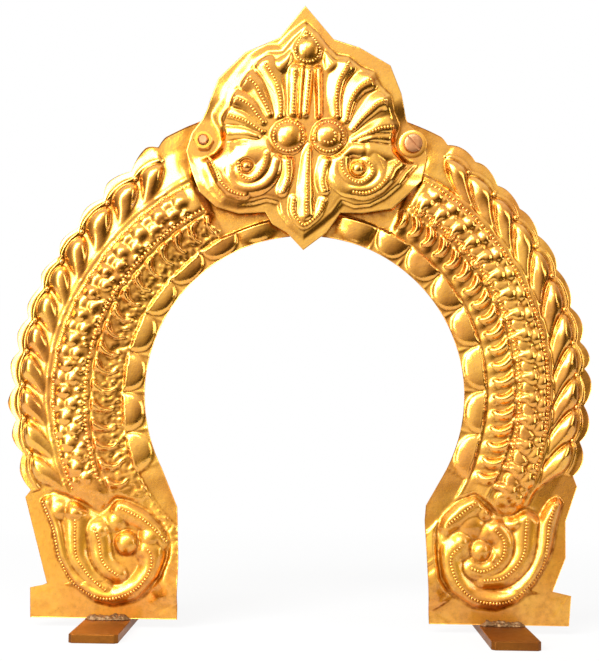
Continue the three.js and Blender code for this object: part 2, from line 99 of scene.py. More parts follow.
# Heights between which the bands run out over the leg panel, and the relief over the foot
LEG_TOP = (84, 66)
FOOT_BLANK = (20, 12)

# Beads: the tarnish and painted shade between them, how deep they sit, and their height and length
# over their width
ROW_TARNISH_AND_SHADE = 0.8
BEAD_SINK = 0.1
SMALL_BEAD_HEIGHT = 0.75
ROW_BEAD_STROKE = 1.7

# The knob where two leaves meet: its radius, how deep it sits, and its share of the leaves' depth
KNOB_RADIUS = 1.7
KNOB_SINK = 0.5
KNOB_SHARE = 0.93

# Feet, solder and hardware
FOOT_CORNER = 2.0
SOLDER_SLICES = 60
SCREW_RADIUS = 3.0
SCREW_HEAD_RADIUS = 5.7
SCREW_HEAD_DEPTH = 3.0
THREAD_DEPTH = 0.42
NUT_FLATS = 11.0
WASHER_RADIUS = 8.5
WASHER_BORE = 3.4

# Where the lamps point, in metres
LAMP_AIM = Vector((0, 0, 0.2))

# Each half. Lines and edges are (angle, radius) pairs, motifs are the angles where they start,
# inner and outer are the leg's edges as (outward, up), and leaf, mould and boss values are the
# heights and roundness of those bands. A worn half has rough grains in its bossed band.
HALVES = {
    "left": {
        "side": -1,
        "begin": 27.5,
        "petal_line": [(16, 107.8), (45, 106.9), (65, 108.7), (90, 109.6), (115, 111.5)],
        "curl_line": [(31, 124.4), (53, 125.1), (65, 127.1), (90, 128.2), (112, 130.4)],
        "boss_line": [(36, 149.5), (62, 151.9), (76, 154.8), (90, 155.6), (110, 154.1)],
        "head_line": [(36, 169.1), (60, 170.5), (90, 172.7), (110, 171)],
        "blank_edge": [(4, 180), (29, 180)],
        "notches": [(31.5, 176.5), (38.7, 173.3), (46.6, 171.8), (54.5, 171.8), (61.4, 171.7),
                    (68.3, 173.7), (75.3, 174.5), (82.2, 175.2), (89.2, 175.5), (95.8, 175.3),
                    (102.6, 174.1), (110.1, 175.3)],
        "peaks": [(33.8, 180.3), (43.6, 177.5), (50.5, 176), (58.5, 175.9), (65.9, 177),
                  (72.8, 177.7), (78.8, 178.8), (84.9, 179.9), (92.5, 180.4), (99.1, 179.3),
                  (106.1, 178.6)],
        "roundness": 1.7,
        "leaves": [32.3, 39.2, 46.9, 55.0, 62.4, 68.8, 75.7, 82.2, 89.1, 96.1, 103.3, 110.5],
        "leaf_lean": 6.2,
        "border_lean": 1.7,
        "leaf_span": 0.88,
        "leaf_peak": 0.42,
        "leaf_rise": 5.4,
        "leaf_round": (2.4, 0.85),
        "leaf_tail": 0.42,
        "leaf_dome": 0.0,
        "ground": 3.0,
        "petals": [10, 23.5, 37, 50.5, 63.6, 77, 90, 103, 116],
        "bosses": [33.5, 39.8, 46.2, 52.6, 58.8, 65.0, 71.0, 77.2, 83.4, 89.8, 96.0, 102.4, 108.4],
        "boss_size": 1.05,
        "mould_swell": 2.4,
        "mould_fall": 1.4,
        "seed": 5,
        "irregular": 0.16,
        "worn": True,
        "curls": [28 + 5.4 * i for i in range(17)],
        "inner": [(75.7, 72.9), (74.1, 41), (74.6, 0)],
        "outer": [(168, 77.4), (153.3, 25.6), (163.5, 23.4), (162.7, 0)],
    },
    "right": {
        "side": 1,
        "begin": 26.5,
        "petal_line": [(13, 111.6), (58, 110.8), (103, 109.2), (123, 111)],
        "curl_line": [(28, 127.7), (68, 127.3), (93, 126.7), (116, 125.7)],
        "boss_line": [(33, 152.8), (73, 151.4), (98, 149.6), (113, 149.9)],
        "head_line": [(31, 170.9), (58, 169.1), (88, 166.7), (105, 165.4)],
        "blank_edge": [(4, 179), (27, 179.3)],
        "notches": [(29.0, 176.7), (35.5, 177.2), (41.9, 174.3), (48.4, 174.1), (54.9, 172.7),
                    (62.8, 171.8), (71.0, 170.5), (78.3, 170.5), (83.9, 170.7), (91.4, 169.5),
                    (98.9, 168.9), (106.0, 169.6)],
        "peaks": [(32.0, 179.6), (38.0, 178.6), (44.4, 176.3), (51.4, 175.5), (59.4, 174.8),
                  (67.3, 173.9), (74.9, 174.5), (81.9, 174.8), (87.4, 174.3), (95.4, 173.4),
                  (102.5, 173.1)],
        "roundness": 2.1,
        "leaves": [30.0, 35.9, 42.9, 49.5, 56.8, 63.8, 71.3, 78.5, 85.3, 92.0, 99.1, 106.1],
        "leaf_lean": 7.4,
        "border_lean": 1.1,
        "leaf_span": 1.0,
        "leaf_peak": 0.46,
        "leaf_rise": 4.4,
        "leaf_round": (3.8, 0.7),
        "leaf_tail": 0.6,
        "leaf_dome": 1.1,
        "ground": 1.3,
        "petals": [10.4, 23.2, 35.0, 47.6, 60.1, 73.3, 87.9, 102.0, 116.7],
        "bosses": [31.4, 36.3, 41.8, 46.7, 51.7, 57.2, 62.7, 68.2, 73.7, 79.2, 84.7, 90.2, 95.8,
                   102.3, 108.9, 114.4],
        "boss_size": 1.0,
        "mould_swell": 1.9,
        "mould_fall": 0.8,
        "seed": 6,
        "irregular": 0.06,
        "worn": False,
        "curls": [26 + 4.75 * i for i in range(19)],
        "inner": [(74.4, 76.3), (73.7, 67.5), (75.5, 36.4), (77.1, 0)],
        "outer": [(165.5, 88.8), (158.6, 67.9), (158.7, 46), (151, 26), (162.1, 23.6),
                  (160.4, 0)],
    },
}

# Where the two rows of beads lie across the bossed band
ROW_SHARES = (0.16, 0.88)

# A curl as (degrees, share of the band's depth), from the outer line inward
HOOK = [(0.0, 1.0), (1.1, 0.9), (2.0, 0.76), (2.5, 0.6), (2.4, 0.45), (1.7, 0.32)]

# The flat facet beside each boss, as (share of the pitch, share of the band's depth)
FACET = [(0.24, 0.25), (0.36, 0.44), (0.54, 0.61), (0.7, 0.57), (0.79, 0.43), (0.76, 0.25),
         (0.55, 0.17), (0.34, 0.18)]

# Bosses of the worn band, as (share of the pitch, share of the depth, radius, height, fullness)
WORN_BOSSES = [(0.05, 0.64, 5.6, 2.3, 1.4), (0.55, 0.78, 4.4, 1.4, 1.4),
               (0.55, 0.46, 4.2, 1.5, 1.3)]

# Volutes: the mound's outline, lobes as (path, half width at both ends, height), the boss and
# swells as (x, z, radius, height), the boss with its fullness, and the creases below them
VOLUTES = {
    "left": {
        "mound": [(158.5, 76), (151.4, 58.7), (147.3, 41.4), (138, 26.3), (124.5, 15.8),
                  (112.7, 13), (97.7, 16.9), (84.8, 30.8), (80.4, 42.5), (79.5, 52), (84, 62),
                  (92, 70), (104, 77), (113, 78.5), (122, 69), (130, 73), (141, 79), (151, 82)],
        "lobes": [
            ([(157, 74.7), (149.9, 58.7), (146.5, 44.3), (141, 31.3), (132, 22.8),
              (119.5, 18), (108.5, 18.9), (97.7, 24.8), (90.6, 35), (90.1, 43.8),
              (92.4, 47.3)], 3.5, 7.2, 3.6),
            ([(136.5, 64.1), (135.6, 44.5), (130.9, 36), (124.9, 28.9), (117.4, 23.1)],
             6.4, 3.6, 3.2),
            ([(124.2, 59.2), (121.8, 51.9), (120.1, 41.9), (116.3, 36.2), (110.3, 31.9)],
             5.5, 4.5, 3.2),
            ([(109.9, 71.7), (98.9, 67.1), (91.2, 61.8), (81.6, 52.4)], 5.2, 4, 2.8),
        ],
        "boss": (105.5, 51.1, 7.2, 5.4, 0.5),
        "swells": [(147.5, 69.5, 7, 2.6), (137, 68.5, 7.4, 4.2), (122, 58, 6.6, 4),
                   (92, 54, 7.4, 3.6), (112, 64, 6.5, 2.2)],
        "creases": [[(74.8, 16.6), (84.2, 7.6)]],
    },
    "right": {
        "mound": [(157.5, 79), (153.5, 63.7), (149.4, 47.2), (140.4, 30.4), (130.2, 19.5),
                  (117.1, 14.5), (102.7, 16.1), (88.8, 24.2), (82.6, 33), (80.5, 48.7),
                  (80, 60), (84, 72), (92, 80), (104, 84), (112, 78), (118, 72), (126, 70),
                  (134, 76), (142, 72), (148, 80), (154, 84)],
        "lobes": [
            ([(151.6, 79), (148.1, 65.1), (146.8, 51.3), (142.7, 37.6), (133.8, 26.9),
              (123.4, 20), (112.8, 19), (102.6, 21.6), (94.2, 29.6), (89.9, 39.9),
              (89.8, 46.8), (94.6, 51.7)], 4, 7, 3.4),
            ([(134.8, 68.5), (134.3, 61.3), (132.9, 48.1), (126.6, 38.5), (119.8, 33.6),
              (109.5, 32.2)], 6.4, 4.2, 3.2),
            ([(116.2, 62.4), (121, 56.3), (121.1, 47.9), (116.3, 41.3), (108.5, 37.6),
              (101.9, 39.3)], 4.5, 5, 3.4),
            ([(104, 78.2), (98.6, 73.9), (91.8, 68.4), (86.9, 64.7)], 5.5, 4.5, 3),
        ],
        "boss": (107.5, 49.6, 6.6, 3.8, 0.9),
        "swells": [(95.5, 54.5, 7, 4), (114.8, 45.7, 6, 3.8), (127.5, 67.6, 6.5, 3.4),
                   (103.3, 77, 7, 3), (109, 72.6, 5, 2.4), (93.5, 70.8, 6, 3),
                   (101, 65, 9, 2.4), (112, 60, 7, 2.2)],
        "creases": [[(76.9, 13.8), (88.9, 4.9)], [(160.8, 23.2), (149.1, 6.6)]],
    },
}

# Crest: its outline, the edge of its raised field, lobes as (path, half width at both ends,
# height), first those with beads, and bosses as (x, z, radius, height)
CREST_OUTLINE = [
    (-3, 381), (-18.5, 360.8), (-39.4, 351.4), (-55.8, 334.8), (-62.2, 316.5), (-65, 310.9),
    (-72, 301.4), (-75, 290.5), (-71.3, 277.7), (-66.1, 264.8), (-55.8, 255.6), (-41.8, 251.5),
    (-25.5, 252.6), (-21, 245.2), (-12.2, 240.2), (-2, 229.6), (12.1, 240.5), (20.4, 252.8),
    (34.2, 252.9), (52, 255.9), (63.5, 266.6), (69.6, 273.2), (73, 288.2), (70.5, 300.9),
    (62, 308.4), (60, 311.7), (56.7, 326.9), (49.8, 344.4), (30.5, 355.4), (14.7, 360.3),
]
CREST_FIELD = [
    (-3, 368), (-10, 361), (-17, 352), (-25, 351.5), (-33, 346), (-40, 336.5), (-46, 328),
    (-50, 318), (-54.5, 311.5), (-54.5, 301), (-58, 293), (-65, 287), (-61.5, 279),
    (-57, 268.5), (-50, 260.5), (-42, 258), (-33, 258.5), (-25, 260.5), (-17, 258.5),
    (-15.5, 252), (-11, 245.5), (-2, 238), (8, 246), (15.5, 252.5), (21, 260), (29, 257),
    (38, 258), (47, 263), (56, 271), (61, 278.5), (65.5, 283.5), (60, 291), (55, 298),
    (54, 308), (50.5, 315), (49, 325), (43, 331), (39, 339), (31, 342), (23, 348), (16, 349),
    (11, 354), (4, 362),
]
CREST_LOBES = [
    ([(-26.6, 343), (-23, 337.6), (-19.8, 331.4), (-17.7, 324.1), (-16.8, 316.4), (-17.4, 311)],
     6.2, 2.6, 3.2),
    ([(-37.3, 333.7), (-32.6, 330.2), (-30, 325.5), (-26.8, 319.3), (-23.6, 312.6)], 6.2, 2.4, 3.2),
    ([(-45.4, 321.7), (-39.6, 319.7), (-34.9, 316.6), (-31.3, 312), (-27.6, 307.4)], 5.6, 2.2, 3.0),
    ([(-49.2, 311.4), (-41.5, 309.3), (-35.3, 306.3), (-28.1, 301.7)], 5.4, 2.2, 3.0),
    ([(24.4, 345.5), (21.9, 340.3), (18.9, 334.5), (17.4, 328.3), (17, 321), (17.7, 311.7)],
     6.4, 2.6, 3.2),
    ([(37.8, 334.2), (31.7, 330.5), (27.7, 325.3), (25.2, 319.5), (23.3, 309.7)], 6.4, 2.4, 3.2),
    ([(47.7, 321.9), (42.1, 319.8), (36.5, 314.5), (32.5, 310.3), (28, 304.6)], 6, 2.2, 3.2),
    ([(51.9, 306.4), (44.8, 305), (39.2, 302.6), (33.7, 300), (26.9, 296.3)], 5.4, 2.2, 3.0),
    ([(-8.6, 339.5), (-9.2, 325), (-9.6, 313)], 3.6, 2.6, 2.4),
    ([(0.4, 339.5), (-0.8, 325), (-1.8, 313)], 3.0, 2.4, 2.4),
    ([(0.5, 292), (-0.1, 279.1), (-0.3, 266.2), (-0.2, 251.4)], 2.6, 5.4, 3.2),
    ([(-11.9, 283.5), (-11.3, 277.4), (-12.2, 271.7), (-14.7, 265)], 4, 3.2, 2.6),
    ([(11.9, 283.9), (10, 277.7), (9, 271.5), (10.6, 265.9)], 4, 3.2, 2.6),
    ([(-8, 260.4), (-8.4, 253.3), (-5.7, 248.2), (-1.6, 244.6), (3.4, 247.8), (7.5, 252.5),
      (10, 259.4)], 2.6, 2.6, 1.9),
    ([(-42.2, 282.1), (-41.9, 277.5), (-39.8, 273.9), (-36.2, 271.9), (-32.6, 273),
      (-29.6, 275.6), (-27.1, 279.2), (-25.7, 283.9), (-25.2, 287.5)], 3.8, 5.6, 3.0),
    ([(-61.2, 287), (-58.3, 282.4), (-55.7, 276.8), (-53, 271.1), (-48.8, 266),
      (-43.7, 263.4), (-38.5, 262)], 5, 3.6, 3.0),
    ([(20.6, 285), (21, 280), (22.7, 276.3), (26.9, 272.3), (32, 270.8), (36, 272.9),
      (39.3, 276.6), (39.2, 281.1), (35.9, 283.7)], 5.4, 3.6, 3.0),
    ([(55.8, 284.6), (52.2, 280.8), (49.7, 275.7), (45.2, 269.9), (41.2, 266.8),
      (35.1, 264.4), (28, 265.2)], 5.2, 3.4, 3.0),
]
CREST_PLAIN_LOBES = [
    ([(-17, 342.5), (-13.5, 346.5), (-11, 351)], 4.2, 1.5, 1.8),
    ([(14, 343.5), (11.5, 347.5), (9.6, 351)], 4.2, 1.5, 1.8),
    ([(-1, 352), (-1.8, 359), (-2.6, 366)], 7.6, 0.8, 3.4),
    ([(-4.2, 341), (-5.2, 326), (-5.6, 312)], 1.7, 1.4, 3.0),
    ([(5.6, 340), (6.2, 326), (6.6, 312)], 2.2, 1.8, 2.8),
    ([(-50, 301.5), (-40, 301), (-31, 298.5)], 4.2, 2.4, 2.4),
    ([(-62, 283.5), (-50, 284.5), (-38, 286.5), (-27, 288.5)], 8.6, 8.0, 2.3),
    ([(56, 288.5), (47, 289.5), (38, 291)], 5, 5, 2.2),
    ([(51, 299.5), (41, 298.8), (32, 296.6)], 3.4, 2.2, 2.2),
    ([(-44, 291), (-48.8, 284), (-47.5, 275), (-43.5, 268.5), (-36, 266.4), (-27.5, 268.5),
      (-21.5, 275), (-19.4, 283)], 4.2, 4.4, 2.2),
    ([(33, 291), (26, 291), (20, 286.4), (16.8, 279.6), (18.2, 273), (23.4, 267.6),
      (31.4, 266.6), (39.5, 268.4), (44.8, 274.4), (44.6, 281.4), (41, 288)], 4.4, 4.2, 2.2),
]
CREST_BOSSES = [
    (-11.9, 298.6, 11.3, 5.4), (12.4, 298.8, 11.3, 5.4), (-1, 352.6, 9.4, 4.4),
    (-37.4, 280.2, 4, 3.0), (30.4, 279.6, 5, 4.0),
]

# The bosses with a ring of beads, and the ring's share of their radius
RINGED_BOSSES = CREST_BOSSES[:3]
RING_SHARE = 0.8


def smooth(low, high, value):
    """An even S-shaped rise from 0 at low to 1 at high."""
    share = np.clip((value - low) / (high - low), 0.0, 1.0)
    return share * share * (3.0 - 2.0 * share)


def read_pairs(pairs, key):
    """Reads a value from (key, value) pairs whose keys rise."""
    return np.interp(key, [p[0] for p in pairs], [p[1] for p in pairs])


def cell_of(starts, value):
    """The number of the motif that a value falls in, and how far across it."""
    place = np.interp(value, starts, np.arange(len(starts)), left=-1.0, right=float(len(starts)))
    number = np.floor(place)
    return number, place - number


def even_curve(points, step=1.2):
    """A smooth curve through the points, as closely spaced points."""
    pts = np.array(points, dtype=float)
    padded = np.vstack([2 * pts[0] - pts[1], pts, 2 * pts[-1] - pts[-2]])
    out = []
    for i in range(1, len(padded) - 2):
        p0, p1, p2, p3 = padded[i - 1:i + 3]
        count = max(2, int(np.linalg.norm(p2 - p1) / step))
        t = np.linspace(0, 1, count, endpoint=False)[:, None]
        out.append(0.5 * (2 * p1 + (p2 - p0) * t + (2 * p0 - 5 * p1 + 4 * p2 - p3) * t ** 2
                          + (3 * p1 - p0 - 3 * p2 + p3) * t ** 3))
    out.append(pts[-1:])
    return np.vstack(out)


def upper_left(across, up, distance):
    """How much an offset points to the upper left, from -1 to 1."""
    return (0.5 * up - 0.87 * across) / np.maximum(distance, 1e-6)


def close_to(x, z, points, margin):
    """Which places lie within a margin of the box round some points."""
    low, high = points.min(axis=0) - margin, points.max(axis=0) + margin
    return (x > low[0]) & (x < high[0]) & (z > low[1]) & (z < high[1])


def to_path(x, z, path):
    """Distance from each point to a path, the share of the path passed there, and how much
    the point lies to the upper left of it, from -1 to 1."""
    best = np.full(x.shape, 1e9)
    share = np.zeros(x.shape)
    upper = np.zeros(x.shape)
    steps = np.hypot(*(path[1:] - path[:-1]).T)
    passed = np.concatenate([[0], np.cumsum(steps)])
    for i, step in enumerate(steps):
        ax, az = path[i]
        bx, bz = (path[i + 1] - path[i]) / max(step, 1e-9)
        along = np.clip((x - ax) * bx + (z - az) * bz, 0, step)
        off_x, off_z = x - ax - along * bx, z - az - along * bz
        distance = np.hypot(off_x, off_z)
        nearer = distance < best
        best = np.where(nearer, distance, best)
        share = np.where(nearer, (passed[i] + along) / passed[-1], share)
        upper = np.where(nearer, upper_left(off_x, off_z, distance), upper)
    return best, share, upper


def inside_by(x, z, outline):
    """How far each point lies inside a closed outline, negative outside it."""
    ring = np.array(outline + outline[:1], dtype=float)
    distance, _, _ = to_path(x, z, ring)
    inside = np.zeros(x.shape, dtype=bool)
    for (x0, z0), (x1, z1) in zip(ring[:-1], ring[1:]):
        if z0 == z1:
            continue
        crosses = (z0 > z) != (z1 > z)
        inside ^= crosses & (x < x0 + (z - z0) * (x1 - x0) / (z1 - z0))
    return np.where(inside, distance, -distance)


def raise_lobe(height, x, z, points, start_width, end_width, rise, fullness=0.8, blunt=1.0,
               power=2.0, lean=0.0):
    """Raises a rounded lobe of tapering width along a path. A blunt of more than 1 shortens
    its round start. A power of less than 2 makes its sides more even slopes. A lean makes the
    upper left side a broad even slope, the other side round, and the thin end low."""
    path = even_curve(points)
    reach = max(start_width, end_width)
    near = close_to(x, z, path, reach)
    if not near.any():
        return
    distance, share, upper = to_path(x[near], z[near], path)
    if blunt > 1:
        back_x, back_z = (path[0] - path[1]) / np.linalg.norm(path[0] - path[1])
        before = (x[near] - path[0, 0]) * back_x + (z[near] - path[0, 1]) * back_z
        before = np.where(share <= 0, np.clip(before, 0, None), 0)
        distance = np.sqrt(distance ** 2 + (blunt ** 2 - 1) * before ** 2)
    width = start_width + (end_width - start_width) * share
    low = (width / reach) ** (0.8 * lean)
    width = width * (1 + 0.22 * lean * upper)
    bend = power - 0.45 * lean * upper
    section = np.clip(1 - (distance / width) ** bend, 0, 1) ** fullness
    height[near] = np.maximum(height[near], rise * low * section)


def raise_dome(height, x, z, dome, fullness=0.5, lean=0.0):
    """Raises a round boss given as (x, z, radius, height). A lean makes its upper left side an
    even slope."""
    across, up = (x - dome[0]) / dome[2], (z - dome[1]) / dome[2]
    distance = np.hypot(across, up)
    bend = 2 - 0.8 * lean * upper_left(across, up, distance)
    section = np.clip(1 - distance ** bend, 0, 1) ** fullness
    np.maximum(height, dome[3] * section, out=height)


def draw_line(distance, rise, width):
    """A thin chased line: a raised ridge with a narrow groove along one side."""
    ridge = rise * np.exp(-(distance / width) ** 2)
    groove = 0.55 * rise * np.exp(-((distance - 2.1 * width) / (0.9 * width)) ** 2)
    return ridge - groove


def unevenness(x, z, scale, seed):
    """Soft random waves between -1 and 1, for metal that was worked by hand."""
    rng = np.random.default_rng(seed)
    table = rng.uniform(-1, 1, (64, 64))
    u, v = x / scale + 17.3, z / scale + 9.1
    i, j = np.floor(u).astype(int), np.floor(v).astype(int)
    fu, fv = u - i, v - j
    fu, fv = fu * fu * (3 - 2 * fu), fv * fv * (3 - 2 * fv)

    def pick(a, b):
        return table[a % 64, b % 64]

    low = pick(i, j) * (1 - fu) + pick(i + 1, j) * fu
    high = pick(i, j + 1) * (1 - fu) + pick(i + 1, j + 1) * fu
    return low * (1 - fv) + high * fv


def screw_distance(x, z):
    """Distance from the nearer screw's axis."""
    return np.hypot(np.abs(x) - SCREW_X, z - SCREW_Z)


def polar(x, z):
    """Angle from the top and radius from the arch's centre."""
    return np.degrees(np.arctan2(x, z - CENTRE_Z)), np.hypot(x, z - CENTRE_Z)


def petal_relief(half, angle, inward):
    """Half-round petals that hang from their line towards the opening."""
    number, across = cell_of(half["petals"], angle)
    side = np.abs(2 * across - 1)
    ring = side ** 2.2 + (inward / 0.95) ** 2.2
    swell = PETAL_RISE * np.clip(1 - ring, 0, 1) ** 0.55
    rim = PETAL_RIM * np.exp(-((ring - 1.06) / 0.07) ** 2)
    spandrel = PETAL_RIM * np.exp(-((side - 1) * 11) ** 2)
    valid = (number >= 0) & (number < len(half["petals"]) - 1)
    return np.where(valid, np.maximum(np.maximum(swell, rim), spandrel), 0)


def curl_relief(half, x, z, angle, curl):
    """Hooked crescents that lean across their band, with a soft swell inside each."""
    height = np.zeros(x.shape)
    keys = np.arange(0, 130, 2.0)
    starts = read_pairs(half["petal_line"], keys)
    depths = read_pairs(half["curl_line"], keys) - starts
    side = angle - np.interp(1 - curl, [1 - share for _, share in HOOK], [a for a, _ in HOOK])
    for first in half["curls"]:
        start, depth = np.interp(first, keys, starts), np.interp(first, keys, depths)
        points = [place(first + a, start + share * depth) for a, share in HOOK]
        raise_crescent(height, x, z, points, side > first, half["worn"])
        if not half["worn"]:
            raise_dome(height, x, z, (*place(first + 3.2, start + 0.32 * depth), 4.2, 0.9), 1.6)
    if half["worn"]:
        dents = 0.5 * unevenness(x, z, 1.9, 12) + 0.35 * unevenness(x, z, 1.1, 13)
        height += dents * smooth(0.95, 0.55, curl)
    return height


def raise_crescent(height, x, z, points, outer, wedge):
    """Raises a crescent that is steep on its hollow side and soft on its outer side. A wedge
    is broadest at its start."""
    path = even_curve(points)
    near = close_to(x, z, path, CRESCENT_WIDTH)
    if not near.any():
        return
    distance, share, _ = to_path(x[near], z[near], path)
    if wedge:
        thick = 0.2 + 0.9 * np.clip(1 - share, 0.0, 1.0) ** 1.3
    else:
        thick = 0.4 + 0.6 * np.sin(np.pi * np.clip(share, 0.0, 1.0)) ** 0.8
    width = np.where(outer[near], CRESCENT_WIDTH, CRESCENT_HOLLOW_WIDTH) * thick
    section = np.clip(1 - (distance / width) ** 2, 0, 1) ** 0.95
    height[near] = np.maximum(height[near], CRESCENT_RISE * (0.35 + 0.65 * thick) * section)


def place(angle, radius):
    """The point at an angle from the top and a radius from the arch's centre."""
    turn = math.radians(angle)
    return radius * math.sin(turn), CENTRE_Z + radius * math.cos(turn)


def raise_plate(height, x, z, outline, rise):
    """Raises a flat plate with a crisp edge."""
    near = close_to(x, z, np.array(outline), 0)
    if not near.any():
        return
    depth = inside_by(x[near], z[near], outline)
    height[near] = np.maximum(height[near], rise * np.clip(depth / 0.7, 0, 1))


def boss_relief(half, x, z):
    """Pear-shaped bosses with a second dome beyond each, and a flat facet in every gap."""
    height = np.zeros(x.shape)
    rng = np.random.default_rng(half["seed"])

    def vary():
        return half["boss_size"] * rng.uniform(1 - half["irregular"], 1 + half["irregular"])

    bosses = half["bosses"] + [2 * half["bosses"][-1] - half["bosses"][-2]]
    for first, following in zip(bosses[:-1], bosses[1:]):
        inner = float(read_pairs(half["curl_line"], first))
        deep = float(read_pairs(half["boss_line"], first)) - inner
        wide = following - first

        def spot(along, share):
            return place(first + wide * along, inner + deep * share)

        if half["worn"]:
            grain_unit(height, x, z, spot, vary, rng)
            continue
        raise_plate(height, x, z, [spot(*corner) for corner in FACET], 1.1)
        tail = [spot(0.0, 0.44), spot(-0.03, 0.28), spot(0.03, 0.1)]
        size = vary()
        raise_lobe(height, x, z, tail, 3.8 * size, 2.1 * size, 2.2, 0.9)
        raise_dome(height, x, z, (*spot(0.02, 0.44), 5.4 * size, 2.3), 1.0, 1.0)
        raise_dome(height, x, z, (*spot(0.23, 0.72), 5.4 * vary(), 2.2), 1.0, 1.0)
        raise_dome(height, x, z, (*spot(0.74, 0.76), 3.2 * vary(), 1.3), 1.0)
    return height


def grain_unit(height, x, z, spot, vary, rng):
    """One motif of the worn band: a large soft boss, two lesser ones, and small grains."""
    for along, share, radius, rise, fullness in WORN_BOSSES:
        raise_dome(height, x, z, (*spot(along, share), radius * vary(), rise), fullness)
    for _ in range(9):
        along, share = rng.uniform(0, 1), rng.uniform(0.1, 0.5)
        raise_dome(height, x, z, (*spot(along, share), 1.5 * vary(), rng.uniform(0.7, 1.4)), 0.8)


def leaf_relief(half, angle, rise):
    """Leaves that lean over: each rises to a round head, with a keel or a soft dome."""
    shift = half["leaf_lean"] * np.clip(1 - rise, 0, 1) ** 2.0
    number, across = cell_of(half["leaves"], angle - shift)
    span = np.clip(across / half["leaf_span"], 0, 1)
    bent = span ** (math.log(0.5) / math.log(half["leaf_peak"]))
    power, fullness = half["leaf_round"]
    keel = 0.06 + 0.94 * np.clip(1 - np.abs(2 * bent - 1) ** power, 0, 1) ** fullness
    dome = half["leaf_dome"] * np.exp(-((across - 0.44) / 0.2) ** 2 - ((rise - 0.66) / 0.17) ** 2)
    head = 1 - 0.17 * np.abs(2 * across - 1) ** 2.4
    valid = (number >= 0) & (number < len(half["leaves"]) - 1)
    swell = half["leaf_tail"] + (1 - half["leaf_tail"]) * smooth(-0.1, 0.72, rise)
    fall = np.clip((rise - 0.6) / (head - 0.6), 0, 1)
    round_head = np.clip(1 - fall ** 2.4, 0, 1) ** 0.5
    height = (half["leaf_rise"] * keel * swell + dome) * round_head
    rim = 0.9 * np.exp(-((rise - head - 0.09) / 0.05) ** 2)
    border = half["border_lean"] * smooth(0.85, 1.0, rise) * np.clip((1.42 - rise) / 0.42, 0, 1)
    return np.where(valid, np.maximum(height, rim + border), 0)


def volute_relief(name, x, z):
    """The mound, lobes and boss of a leg panel's volute, and how far it covers the bands."""
    volute = VOLUTES[name]
    depth = inside_by(x, z, volute["mound"])
    cover = smooth(-1.5, 1.5, depth)
    mound = MOUND_RISE * smooth(-0.5, 5.5, depth)
    lobes = np.zeros(x.shape)
    trench = np.zeros(x.shape)
    for points, start, end, rise in volute["lobes"]:
        raise_lobe(lobes, x, z, points, start + 2.4, end + 1.4, 0.95 * rise, 1.0, 1.3)
        dig_trench(trench, x, z, points, 1.5, 0.4)
    for swell in volute["swells"]:
        raise_dome(lobes, x, z, swell, 1.1)
    *boss, fullness = volute["boss"]
    lobes *= smooth(0.85, 1.2, np.hypot(x - boss[0], z - boss[1]) / boss[2])
    raise_dome(lobes, x, z, boss, fullness)
    edge = 0.45 * np.exp(-((depth - 0.7) / 0.55) ** 2)
    worked = (mound + lobes - trench) * smooth(-0.8, 2.6, depth) + edge
    return np.maximum(worked, 0), cover


def dig_trench(trench, x, z, points, width, depth):
    """Marks the shallow channel that a row of punched beads lies in."""
    path = even_curve(points)
    near = close_to(x, z, path, 4)
    if not near.any():
        return
    distance, _, _ = to_path(x[near], z[near], path)
    trench[near] = np.maximum(trench[near], depth * np.exp(-(distance / width) ** 2))


def band_relief(half, x, z, angle, radius):
    """Height of the four bands and of the chased lines between them."""
    petal_line, curl_line, boss_line, head_line = (
        read_pairs(half[key], angle) for key in BAND_LINES)
    inward = (petal_line - radius) / (petal_line - OPENING_RADIUS)
    curl = (radius - petal_line) / (curl_line - petal_line)
    rise = (radius - curl_line) / (boss_line - curl_line)
    leaf = (radius - boss_line) / (head_line - boss_line)
    on = smooth(half["begin"] - 0.5, half["begin"] + 2.5, angle)
    petals = petal_relief(half, angle, np.clip(inward, 0, 1.2)) + PETAL_GROUND
    slope = CURL_GROUND + CURL_SLOPE * smooth(0, 1, curl)
    curls = on * (slope + curl_relief(half, x, z, angle, curl))
    mould = MOULD_GROUND + half["mould_swell"] * np.sin(np.pi * np.clip(rise, 0, 1)) ** 0.8
    mould -= half["mould_fall"] * np.clip(rise, 0, 1) ** 1.5
    bosses = on * (mould + boss_relief(half, x, z))
    ground = half["ground"] * np.clip(1 - leaf / 0.97, 0, 1)
    leaves = on * np.maximum(ground, leaf_relief(half, angle, leaf))
    height = np.where(inward > 0, petals * (inward < 1.01), curls)
    height = np.where(rise > 0, bosses, height)
    height = np.where(leaf > 0, leaves, height)
    height += np.where(angle > 6, draw_line(radius - petal_line, 0.6, LINE_WIDTH), 0)
    height += on * draw_line(radius - curl_line, 0.75, LINE_WIDTH)
    height += on * draw_line(radius - boss_line, 0.7, LINE_WIDTH)
    for share in ROW_SHARES:
        offset = (rise - share) * (boss_line - curl_line)
        height -= on * 0.5 * np.exp(-(offset / 1.5) ** 2)
    return height


def row_tarnish_and_shade(x, z, paths):
    """Where tarnish and painted shade lie between punched beads: 1 on the rows."""
    stain = np.zeros(x.shape)
    for points in paths:
        dig_trench(stain, x, z, points, 1.25, 1.0)
    return stain


